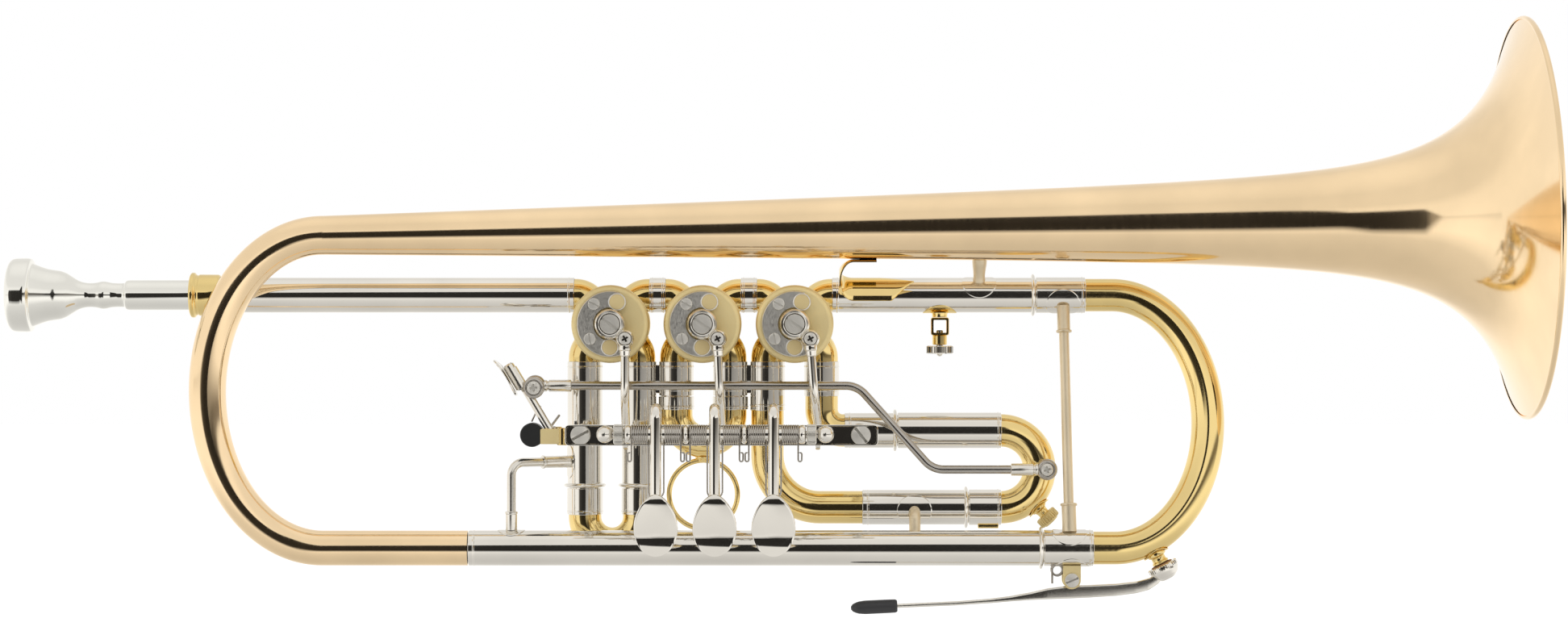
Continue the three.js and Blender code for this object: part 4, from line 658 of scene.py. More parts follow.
def sleeve_profile(t, long, mouth=True):
    """An outer slide sleeve: a solder ring at its foot and a bead at its mouth."""
    profile = [(t.bore, 0), (t.sleeve - 0.1, 0), (t.sleeve, 0.12)]
    margin = min(1.9, long * 0.17)
    profile += seam(t.sleeve, margin, t.seam)
    if mouth:
        profile += bead(t.sleeve, t.bead, long - t.bead_width, t.bead_width)
    else:
        profile += seam(t.sleeve, long - margin, t.seam)
        profile += [(t.sleeve, long - 0.12), (t.sleeve - 0.1, long)]
    return profile + [(t.bore, long)]


def tube_between(shape, t, start, long, direction, mouth=True):
    """A straight tube of that length, with a bead at its far end if it has a mouth."""
    shape.turned(sleeve_profile(t, long, mouth), start, direction, NICKEL_TUBE, sides=72, wrap=True)


def slide_leg(shape, t, start, leg, ferrule, direction):
    """A slide's inner leg, reaching back, and its ferrule, reaching forward."""
    bore = t.leg - 0.35
    profile = [(bore, -leg), (t.leg, -leg), (t.leg, 0.3), (t.ferrule - 0.12, 0.3), (t.ferrule, 0.45)]
    profile += seam(t.ferrule, ferrule - 1.1, t.seam)
    profile += [(t.ferrule, ferrule - 0.15), (t.ferrule - 0.15, ferrule), (bore, ferrule)]
    shape.turned(profile, start, direction, NICKEL_TUBE, sides=72, wrap=True)


def saddle(shape, axis_point, along, towards, radius, reach, finish, thickness=0.22, girth=None):
    """A soldered foot plate: an oval sheet bent round a tube, on the side it faces.

    reach is its half length along the tube, girth its half width round it."""
    girth = girth or reach
    axis_point, along = Vector(axis_point), Vector(along).normalized()
    side = along.cross(Vector(towards)).normalized()
    towards = side.cross(along)
    rings = []
    levels = [(1, 0), (1, thickness * 0.6), (0.97, thickness)]
    levels += [(size, thickness) for size in (0.94, 0.86, 0.74, 0.6, 0.45, 0.3, 0.15, 0.05)]
    for size, lift in levels:
        ring = []
        for turn in angles(40):
            wrap = girth * size * math.sin(turn) / radius
            out = (towards * math.cos(wrap) + side * math.sin(wrap)) * (radius + 0.02 + lift)
            ring.append(axis_point + along * (reach * size * math.cos(turn)) + out)
        rings.append(ring)
    shape.skin(rings, finish)


def socket(shape, start, direction, radius, long, finish, lip=0.35):
    """A brace's socket: a short tube with a lip at its end."""
    profile = [(0, 0), (radius, 0), (radius, long - 1.0), (radius + lip, long - 0.8)]
    profile += [(radius + lip, long - 0.15), (radius, long), (radius * 0.6, long), (0, long)]
    shape.turned(rounded(profile, 0.15, 2), start, direction, finish, sides=40)


class TrumpetOperator:
    bl_options = {"REGISTER", "UNDO"}


class TRUMPET_OT_finishes(TrumpetOperator, bpy.types.Operator):
    """Mix the metals, rubber and cork that the pieces are finished in"""

    bl_idname = "trumpet.finishes"
    bl_label = "Finishes"

    def execute(self, context):
        make_finishes(context.scene.trumpet_colours)
        return {"FINISHED"}


def bell_radius(b, from_rim):
    """The bell's outer radius at a distance from its rim."""
    return b.stem - BELL_TAPER * from_rim + b.flare * (b.throat / (from_rim + b.throat)) ** BELL_CURVE


def bell_slope(b, from_rim):
    """How steeply the bell opens at a distance from its rim."""
    opening = (b.throat / (from_rim + b.throat)) ** (BELL_CURVE + 1)
    return BELL_TAPER + BELL_CURVE * b.flare * opening / b.throat


def bell_axis(x):
    """The point on the bell's centreline at x."""
    return Vector((x, LOW_PLANE, BELL_RISE + (x - BOW_X) * math.tan(BELL_TILT)))


class TRUMPET_OT_bell(TrumpetOperator, bpy.types.Operator):
    """Spin the bell with its rolled rim, and bend its bow"""

    bl_idname = "trumpet.bell"
    bl_label = "Bell"

    def execute(self, context):
        b = in_mm(context.scene.trumpet_bell)
        long = (b.rim_x - BOW_X) / math.cos(BELL_TILT)
        outer, inner = [], []
        steps = 150
        for i in range(steps + 1):
            from_rim = long * (1 - i / steps) ** 2
            radius, slope = bell_radius(b, from_rim), bell_slope(b, from_rim)
            lean = math.hypot(1, slope)
            outer.append((radius, long - from_rim))
            inner.append((radius - b.wall / lean, long - from_rim + b.wall * slope / lean))
        # the rolled rim, a flattened round that starts and ends on the sheet
        rim_radius, rim_at = bell_radius(b, 0) - 0.15, long + b.rim * 0.55
        roll = []
        for i in range(13):
            turn = math.pi * (-0.62 + 1.5 * i / 12)
            roll.append((rim_radius + b.rim * 0.8 * math.cos(turn), rim_at + b.rim * math.sin(turn)))
        shape = Shape()
        direction = (math.cos(BELL_TILT), 0, math.sin(BELL_TILT))
        profile = outer + roll + inner[::-1]
        shape.turned(profile, (BOW_X, LOW_PLANE, BELL_RISE), direction, GOLD_BRASS, sides=180, wrap=True)
        bow_end = (bell_radius(b, long) + 0.02) / b.tail
        middle, half, bow_reach = (BELL_RISE + BOTTOM_Z) / 2, (BELL_RISE - BOTTOM_Z) / 2, 40.4

        def oval(share):
            turn = math.pi * share
            return (BOW_X - bow_reach * math.sin(turn), LOW_PLANE, middle - half * math.cos(turn))

        tail_x = -82.2
        path = Path((tail_x, LOW_PLANE, BOTTOM_Z), LEFT)
        path.straight(tail_x - BOW_X)
        path.follow(oval, 90, lambda share: 1 + (bow_end - 1) * share)
        path.straight(0.6)
        shape.swept(path, b.tail, GOLD_BRASS, sides=72)
        shape.place("bell_spun", "trumpet", "bell", slot="gold_brass", sharp=50)
        return {"FINISHED"}


class TRUMPET_OT_tubes(TrumpetOperator, bpy.types.Operator):
    """Draw the straight tubes of the main line with their ferrules and the receiver"""

    bl_idname = "trumpet.tubes"
    bl_label = "Straight tubes"

    def execute(self, context):
        t = in_mm(context.scene.trumpet_tubes)
        # piece, CAD node, where it starts, its length, and whether it ends in a bead
        runs = (
            ("leadpipe", "leadpipe", (-175.8, 0, LINE_Z), 130.2, False),
            ("valve_ferrule_left", "valve_ferrule_1_2", (-19.0, 0, LINE_Z), 5.7, False),
            ("valve_ferrule_right", "valve_ferrule_2_3", (13.3, 0, LINE_Z), 5.7, False),
            ("outlet_tube_drawn", "outlet_tube", (45.6, 0, LINE_Z), 71.8, True),
            ("bell_tail_sleeve", "bell_tail_tube", (-81.9, LOW_PLANE, BOTTOM_Z), 201.2, True),
        )
        for name, node, start, long, mouth in runs:
            shape = Shape()
            tube_between(shape, t, start, long, RIGHT, mouth)
            if name == node:
                name = name + "_drawn"
            shape.place(name, "trumpet", node, slot="nickel_silver")
        shape = Shape()
        profile = [
            (5.6, 0), (7.4, 0), (8.0, 0.5), (8.0, 1.5), (7.4, 2.0), (7.1, 2.3), (7.1, 2.9), (7.35, 3.3),
            (7.3, 9.8), (6.9, 10.6), (6.5, 10.6), (6.5, 5.4), (5.6, 5.4),
        ]
        profile = rounded(profile, 0.25, 3, closed=True)
        shape.turned(profile, (-181.5, 0, LINE_Z), RIGHT, YELLOW_BRASS, sides=80, wrap=True)
        shape.place("receiver_turned", "trumpet", "mouthpiece_receiver", slot="yellow_brass")
        return {"FINISHED"}


class TRUMPET_OT_mouthpiece(TrumpetOperator, bpy.types.Operator):
    """Turn the mouthpiece with its rim, cup and shank"""

    bl_idname = "trumpet.mouthpiece"
    bl_label = "Mouthpiece"

    def execute(self, context):
        shape = Shape()
        # radius and distance from the rim, down the outside and back through the bore
        outside = [
            (9.3, 0.0), (10.6, -0.05), (12.0, 0.5), (12.9, 1.6), (13.1, 3.0), (13.15, 6.6), (12.9, 7.9),
            (12.2, 8.3), (11.2, 8.5), (10.8, 9.6), (10.0, 11.6), (9.3, 13.8), (8.9, 16.2), (8.6, 18.4),
            (7.7, 20.6), (6.3, 22.7), (5.2, 24.4), (4.6, 26.0), (4.3, 27.6), (4.25, 29.2), (4.45, 31.0),
            (4.85, 32.6), (4.9, 33.6), (4.75, 34.6), (4.35, 36.2), (4.2, 38.6), (4.25, 40.4), (4.5, 41.1),
            (5.15, 41.6), (5.3, 42.6), (5.3, 64.3), (4.8, 86.3),
        ]
        inside = [
            (4.2, 86.3), (1.85, 26.0), (1.85, 12.6), (2.3, 11.4), (3.7, 10.0), (5.6, 8.4), (7.1, 5.8),
            (7.9, 3.2), (8.3, 1.4), (8.7, 0.4),
        ]
        profile = rounded(outside[:-1], 0.7, 3) + [(4.8, 86.1), (4.7, 86.3)] + inside
        shape.turned(profile, (-245.8, 0, LINE_Z), RIGHT, SILVER, sides=112, wrap=True)
        shape.place("mouthpiece_turned", "mouthpiece", "mouthpiece", slot="silver_plate", sharp=40)
        return {"FINISHED"}


def crescent(outer, inner, start, end, steps=60, corner=0.8):
    """A crescent between two angles, counterclockwise."""
    first, last = math.radians(start), math.radians(end)
    trim = corner / outer
    line = []
    for i in range(steps + 1):
        turn = first + trim + (last - first - 2 * trim) * i / steps
        line.append((outer * math.cos(turn), outer * math.sin(turn)))
    for i in range(steps + 1):
        turn = last - (last - first) * i / steps
        line.append((inner * math.cos(turn), inner * math.sin(turn)))
    return line


class TRUMPET_OT_valves(TrumpetOperator, bpy.types.Operator):
    """Turn the valve casings, caps, stop plates and stop arms"""

    bl_idname = "trumpet.valves"
    bl_label = "Valves"

    def execute(self, context):
        t, v = in_mm(context.scene.trumpet_tubes), in_mm(context.scene.trumpet_valves)
        for n, x in enumerate(VALVE_X, 1):
            centre = Vector((x, 0, 0))
            self.casing(t, v, centre, n)
            self.caps(v, centre, n)
            self.plate(v, centre, n)
            self.arm(v, centre, n)
            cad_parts[f"rotor_{n}"].data.materials[0] = bpy.data.materials[TURNED_BRASS]
        return {"FINISHED"}

    def casing(self, t, v, centre, n):
        shape = Shape()
        bore, half = v.casing - 1.7, 13
        profile = [(bore, -half), (v.casing, -half), (v.casing, half), (bore, half)]
        shape.turned(profile, centre, BACK, YELLOW_BRASS, sides=72, wrap=True)
        # four knuckles leave the casing aslant and bend to the tubes at its sides
        bend, reach, start = 6.2, 13.0, bore + 0.2
        slant = math.sqrt(0.5)
        lift = bend * (1 - slant)
        solder = [(t.tube, 0), (t.tube + 0.45, 0.1), (t.tube + 0.2, 0.7), (t.tube, 0.9)]
        for side in (-1, 1):
            for rise in (-1, 1):
                heading = Vector((side, 0, rise)).normalized()
                offset = LINE_Z if rise > 0 else LEG_OFFSET
                path = Path(centre + heading * start, heading)
                path.straight((offset - lift) / slant - start)
                path.bend(bend, BACK * side, math.pi / 4, 12)
                path.straight(reach - (offset - lift + bend * slant) + 0.25)
                shape.swept(path, t.tube, YELLOW_BRASS, sides=40)
                foot = centre + heading * (v.casing - 0.35)
                shape.turned(solder, foot, heading, YELLOW_BRASS, sides=40, wrap=True)
        shape.place(f"valve_casing_turned_{n}", "trumpet", f"valve_casing_{n}", slot="yellow_brass")

    def caps(self, v, centre, n):
        shape = Shape()
        r = v.cap
        # a flat face with a rounded shoulder, and a band that ends in a small step on the casing
        profile = [
            (3.3, 13.3), (3.3, 16.7), (r - 1.7, 16.7), (r - 1.2, 16.55), (r - 0.5, 16.2), (r, 15.3),
            (r, 11.2), (r - 0.3, 10.8), (r - 0.35, 10.0), (12.3, 10.0), (12.3, 13.3),
        ]
        shape.turned(rounded(profile, 0.3, 3, closed=True), centre, FRONT, TURNED_BRASS, sides=96, wrap=True)
        shape.place(f"front_cap_{n}", "trumpet", f"valve_front_cap_{n}", slot="matt_brass")
        shape = Shape()
        r = v.back_cap
        profile = [
            (0, 17.2), (3.4, 17.2), (3.8, 16.9), (9.2, 16.9), (9.7, 17.2), (r - 1.0, 17.2), (r - 0.3, 16.9),
            (r, 16.2), (r, 14.6), (r - 0.35, 14.3), (r - 0.35, 13.7), (r, 13.4), (r, 10.0), (12.3, 10.0),
            (12.3, 13.3), (3.3, 13.3), (3.3, 16.4), (0, 16.4),
        ]
        shape.turned(rounded(profile, 0.2, 2), centre, BACK, TURNED_BRASS, sides=96)
        shape.place(f"back_cap_{n}", "trumpet", f"valve_back_cap_{n}", slot="matt_brass")

    def plate(self, v, centre, n):
        """The crescent stop plate with its screws and bumpers."""
        shape = Shape()
        front = centre + FRONT * 17.0
        shape.plate(crescent(v.plate, 5.6, 68, 300), front, RIGHT, UP, 1.5, NICKEL_CAST, edge=0.25)
        for a, c, turn in ((-5.6, 7.0, -0.45), (-7.0, -5.2, 1.75)):
            place = front + Vector((a, -1.45, c))
            shape.screw(place, FRONT, v.plate_screw, 0.5, NICKEL_MATT, angle=turn, dome=0.15)
        bumper_circle = 8.1
        for turn in (math.radians(72), math.radians(-90)):
            place = front + Vector((math.cos(turn), 0, math.sin(turn))) * bumper_circle
            ring = [(2.7, 0), (2.7, 1.62), (2.85, 1.7), (3.1, 1.5), (3.15, 0)]
            shape.turned(ring, place, FRONT, NICKEL_CAST, sides=40, wrap=True)
            pad = [(0, 0), (2.72, 0), (2.72, 1.5), (2.5, 1.66), (0, 1.7)]
            shape.turned(pad, place, FRONT, BUMPER, sides=40)
        shape.place(f"stop_plate_{n}", "trumpet", f"bumper_plate_{n}", slot="nickel_silver")

    def arm(self, v, centre, n):
        """The stop arm on the rotor's spindle, with the stud of its link."""
        shape = Shape()
        base = centre + FRONT * 19.1
        recess = v.spindle_screw + 0.3
        hub = [
            (0, 0), (v.hub - 0.3, 0), (v.hub, 0.3), (v.hub, 1.3), (v.hub - 0.5, 1.9), (recess + 0.25, 2.0),
            (recess, 1.85), (recess, 0.9), (0, 0.9),
        ]
        shape.turned(hub, base, FRONT, NICKEL_TURNED, sides=64)
        shape.screw(base + FRONT * 0.8, FRONT, v.spindle_screw, 0.75, NICKEL_MATT, angle=-0.62, dome=0.0)
        along = STOP_ARM.normalized()
        across = Vector((-along.z, 0, along.x))
        lug = 2.3
        outline = [(4.0, 2.0), (4.0, -2.0)]
        for j in range(13):
            turn = math.pi * (-0.5 + j / 12)
            outline.append((STOP_ARM.length + lug * math.cos(turn), lug * math.sin(turn)))
        shape.plate(outline[::-1], base, along, across, 1.2, TURNED_BRASS, 0.3)
        stud = base + STOP_ARM + FRONT * 0.8
        shape.rod(stud, stud + FRONT * 5.3, 1.3, STEEL, sides=24)
        head = base + STOP_ARM + FRONT * 5.1
        shape.screw(head, FRONT, 2.2, 0.9, NICKEL_MATT, cross=True, angle=0.5, dome=0.25)
        shape.place(f"rotor_arm_{n}", f"rotor_{n}", f"stop_arm_{n}", slot="nickel_silver")


class TRUMPET_OT_links(TrumpetOperator, bpy.types.Operator):
    """Bend the links that join the keys to the rotors"""

    bl_idname = "trumpet.links"
    bl_label = "Links"

    def execute(self, context):
        v = in_mm(context.scene.trumpet_valves)
        for n, (x, foot) in enumerate(zip(VALVE_X, LINK_FEET), 1):
            shape = Shape()
            centre = STOP_ARM + RIGHT * x
            r = v.joint
            eye = [
                (1.6, 21.4), (r - 0.9, 21.4), (r - 0.2, 22.0), (r, 23.0), (r - 0.15, 23.9), (r - 0.6, 24.6),
                (2.5, 24.85), (2.35, 24.7), (2.35, 24.0), (1.6, 24.0),
            ]
            eye = rounded(eye, 0.35, 3, closed=True)
            shape.turned(eye, centre, FRONT, NICKEL_TURNED, sides=48, wrap=True)
            # the rod drops in front of the valve and swings back to the key's rear arm
            top = Vector((centre.x, -23.2, centre.z - r + 0.5))
            elbow = Vector((x + (STOP_ARM.x + foot) / 2, top.y, -25.0))
            lower = Vector((x + foot, LINK_Y, AXLE.z - REAR_ARM * math.sin(KEY_REST)))
            collar = [(0, -0.4), (2.2, -0.4), (2.2, 1.2), (1.9, 1.5), (1.75, 3.2), (v.link, 3.5), (0, 3.5)]
            shape.turned(rounded(collar, 0.15), top, elbow - top, NICKEL_TUBE, sides=36)
            path = through([top, elbow, lower + UP * 5.9, lower + UP * 2.35], 5.0, 8)
            shape.swept(path, v.link, NICKEL_TUBE, sides=28)
            ring = [(1.8, -0.8), (2.75, -0.8), (2.9, -0.6), (2.9, 0.6), (2.75, 0.8), (1.8, 0.8)]
            shape.turned(ring, lower, RIGHT, NICKEL_TUBE, sides=40, wrap=True)
            shape.place(f"link_rod_{n}", f"link_{n}", f"link_{n}", slot="nickel_silver")
        return {"FINISHED"}


def touch_surface(shape, k, origin):
    """The finger touch: an egg-shaped plate, rolled back at its top and turned up at its foot."""
    lean = math.radians(13.5)
    up = Vector((0, -math.sin(lean), math.cos(lean)))
    front = Vector((0, -math.cos(lean), -math.sin(lean)))

    def ring(share, height):
        made = []
        for turn in angles(80):
            width = k.touch_width / 2 * (1 - 0.15 * math.cos(turn))
            c = math.cos(turn) * share
            curl = 3.5 * (max(0.0, -c - 0.36) / 0.64) ** 2 - 1.2 * (max(0.0, c - 0.7) / 0.3) ** 2
            side = RIGHT * (width * math.sin(turn) * share)
            made.append(origin + side + up * (k.touch_height / 2 * c) + front * (height + curl))
        return made

    thick = k.touch_thickness
    rings = [ring(share, 0) for share in (0.3, 0.6, 0.8, 0.9, 0.97)]
    rings += [ring(1.0, 0.2), ring(1.0, thick - 0.3), ring(0.985, thick - 0.08)]
    for share in (0.96, 0.92, 0.88, 0.83, 0.78, 0.72, 0.65, 0.57, 0.48, 0.38, 0.26, 0.13, 0.03):
        rings.append(ring(share, thick + k.touch_crown * (1 - share**2)))
    shape.skin(rings, NICKEL_TUBE)


def spring_path(centre):
    """The wire of a key spring: a foot and a coil on each side, joined by a loop that hangs down."""
    leg, corner, count = 14.7, 1.6, int(SPRING_TURNS * 22)

    def coil(side):
        def place(share):
            run = share if side < 0 else 1 - share
            turn = math.pi - 2 * math.pi * SPRING_TURNS * run
            x = side * (SPRING_SPREAD + SPRING_PITCH * SPRING_TURNS * (1 - run))
            return centre + Vector((x, SPRING_RADIUS * math.cos(turn), SPRING_RADIUS * math.sin(turn)))

        return place

    path = Path(coil(-1)(0) + DOWN * SPRING_FOOT, UP)
    path.straight(SPRING_FOOT)
    path.follow(coil(-1), count)
    path.heading = FRONT.copy()
    path.bend(corner, RIGHT, math.pi / 2, 8)
    path.straight(leg)
    path.bend(SPRING_SPREAD, FRONT, math.pi, 16)
    path.straight(leg)
    path.bend(corner, LEFT, math.pi / 2, 8)
    path.follow(coil(1), count)
    path.heading = DOWN.copy()
    return path.straight(SPRING_FOOT)


def rear_arm(i):
    """Where a key's rear arm starts and ends along X, from the middle of the key."""
    return (i - 1) * REAR_SPACING, VALVE_X[i] + LINK_FEET[i] - KEY_X[i] - 2.4


def axle_collar(shape, bore, radius, outer, at, centre):
    """A half-round collar on the key axle, from that distance along it."""
    profile = [(bore, at), *bead(radius, outer, at, COLLAR_WIDTH, 10), (bore, at + COLLAR_WIDTH)]
    shape.turned(profile, centre, RIGHT, NICKEL_TUBE, sides=48, wrap=True)


class TRUMPET_OT_keys(TrumpetOperator, bpy.types.Operator):
    """Make the key levers with their touches, springs, axle and rail"""

    bl_idname = "trumpet.keys"
    bl_label = "Keys"

    def execute(self, context):
        t, k = in_mm(context.scene.trumpet_tubes), in_mm(context.scene.trumpet_keys)
        for i, x in enumerate(KEY_X):
            self.lever(k, i, AXLE + RIGHT * x)
            self.spring(k, i + 1, AXLE + RIGHT * x)
        self.axle(k)
        self.rail(t, k)
        return {"FINISHED"}

    def lever(self, k, i, centre):
        shape = Shape()
        bore = 1.5
        left = HUB_LEFT - centre.x if i == 0 else -HUB_HALF
        right = HUB_RIGHT - centre.x if i == 2 else HUB_HALF
        hub = [(bore, left), (k.hub, left), (k.hub, right), (bore, right)]
        shape.turned(hub, centre, RIGHT, NICKEL_TUBE, sides=40, wrap=True)
        if i != 1:
            at = left if i == 0 else right - COLLAR_WIDTH
            axle_collar(shape, bore, k.hub, k.collar, at, centre)
        # the arm rises from the hub, turns over and hangs in front of it
        rise, foot, drop = 3.9, k.hub - 0.6, 24.6
        path = Path(centre + UP * foot, UP)
        path.straight(rise)
        path.bend(3.3, RIGHT, math.pi, 20)
        path.straight(foot + rise + drop)
        path.straight(1.6, 0.9)
        shape.swept(path, k.arm, NICKEL_TUBE, sides=36)
        # the end of the arm flattens into the touch
        section = round_outline(1.0, 36)
        rings = []
        for j in range(9):
            s = j / 8
            wide = k.arm * 0.9 + 2.6 * s**1.6
            thin = k.arm * 0.9 - 1.05 * s
            base = path.point + Vector((0, 0.25 * s, 1.2 - 6.2 * s))
            rings.append([base + RIGHT * a * wide + FRONT * c * thin for a, c in section])
        shape.skin(rings, NICKEL_TUBE)
        touch_surface(shape, k, centre + Vector((0, -7.5, -30.6)))
        # the rear arm slopes down to the pin of the link
        rear_x, elbow_x = rear_arm(i)
        root = centre + Vector((rear_x, 1.9, -1.9 * math.tan(KEY_REST)))
        reach = Vector((0, math.cos(KEY_REST), -math.sin(KEY_REST))) * REAR_ARM
        elbow = centre + reach + RIGHT * elbow_x
        arm = through([root, elbow + LEFT * 0.01, elbow + RIGHT * 0.01], 0.5)
        shape.swept(arm, 0.9, NICKEL_TUBE, sides=20)
        shape.rod(elbow + LEFT * 0.9, elbow + RIGHT * 5.8, 0.8, STEEL, sides=20)
        n = i + 1
        shape.place(f"key_{n}_formed", f"key_{n}", f"key_lever_{n}", slot="nickel_silver")

    def spring(self, k, n, centre):
        shape = Shape()
        shape.swept(spring_path(centre), k.wire / 2, STEEL, sides=12)
        # each foot ends in a hook
        coil_end = SPRING_SPREAD + SPRING_PITCH * SPRING_TURNS
        for side in (-1, 1):
            hook = Path(centre + Vector((side * coil_end, -SPRING_RADIUS, -SPRING_FOOT)), DOWN)
            hook.bend(0.62, FRONT * side, math.pi, 10)
            hook.straight(1.9)
            hook.bend(0.5, FRONT * side, math.pi * 0.7, 8)
            shape.swept(hook, k.wire / 2, STEEL, sides=12)
        shape.place(f"key_spring_wound_{n}", f"key_{n}", f"key_spring_{n}", slot="steel")

    def axle(self, k):
        shape = Shape()
        radius, nut, gap = 1.2, 3.4, 0.3
        shape.rod(AXLE + LEFT * 34.5, AXLE + RIGHT * 44.1, radius, STEEL, sides=28)
        for x in KEY_X[:2]:
            axle_collar(shape, radius, radius, k.collar, x + HUB_HALF + gap, AXLE)
        for x in (HUB_LEFT - gap - nut, HUB_RIGHT + gap):
            shape.knurled(AXLE + RIGHT * x, RIGHT, k.nut, nut, NICKEL_CAST, teeth=30, depth=0.22)
        shape.place("key_axle_ground", "trumpet", "key_axle", slot="steel")

    def rail(self, t, k):
        shape = Shape()
        left, right, front, back, z = -47.2, 61.1, -33.3, -30.0, -38.4
        middle, width = (left + right) / 2, right - left
        height, wall, floor = 7.2, 0.65, -30.8
        outline = box_outline(width, height, 1.6, 6)
        inner = box_outline(width - 2 * wall, height - 2 * wall, 1.2, 6)
        rings = [
            facing_front(line, middle, y, z, amount)
            for line, y, amount in (
                (outline, back, 0.2), (outline, back - 0.2, 0), (outline, front + 0.2, 0),
                (outline, front, 0.2), (inner, front, -0.15), (inner, front + 0.2, 0), (inner, floor, 0),
            )
        ]
        shape.skin(rings, NICKEL_TUBE)
        channel = shape.place("key_rail_milled", "trumpet", "key_rail", slot="nickel_silver")
        # notches that the rear arms pass through
        for i, key_x in enumerate(KEY_X):
            share = ((front + back) / 2 - AXLE.y) / (REAR_ARM * math.cos(KEY_REST))
            rear_x, elbow_x = rear_arm(i)
            x = key_x + rear_x + (elbow_x - rear_x) * share
            tool = Shape()
            notch = box_outline(3.4, height, 0.3, 2)
            tool.plate(notch, (x, -28.5, AXLE.z + 1.0), RIGHT, UP, 4.5, NICKEL_CAST)
            cut_out(channel, tool)
        shape = Shape()
        for post_x in (-33.3, 42.9):
            centre = Vector((post_x, AXLE.y, AXLE.z))
            shape.ball(2.95, centre, NICKEL_TURNED)
            shape.rod(centre, (post_x, -30.9, AXLE.z), 2.0, NICKEL_TUBE)
        foot = [(0, 0), (3.4, 0), (3.4, 0.5), (2.3, 1.4), (2.1, 2.4), (0, 2.4)]
        for x, slot_turn in ((FIRST_LEG_X, 0.5), (55.2, -0.9)):
            shape.rod((x, -30.1, z), (x, -t.sleeve - 0.4, z), 2.1, NICKEL_TUBE)
            shape.turned(rounded(foot, 0.2), (x, -t.sleeve - 0.32, z), FRONT, NICKEL_TUBE, sides=40)
            shape.screw((x, -31.0, z), FRONT, k.rail_screw, 2.3, NICKEL_MATT, angle=slot_turn, dome=0.5)
        shape.place("key_rail_posts", "trumpet", slot="nickel_silver")


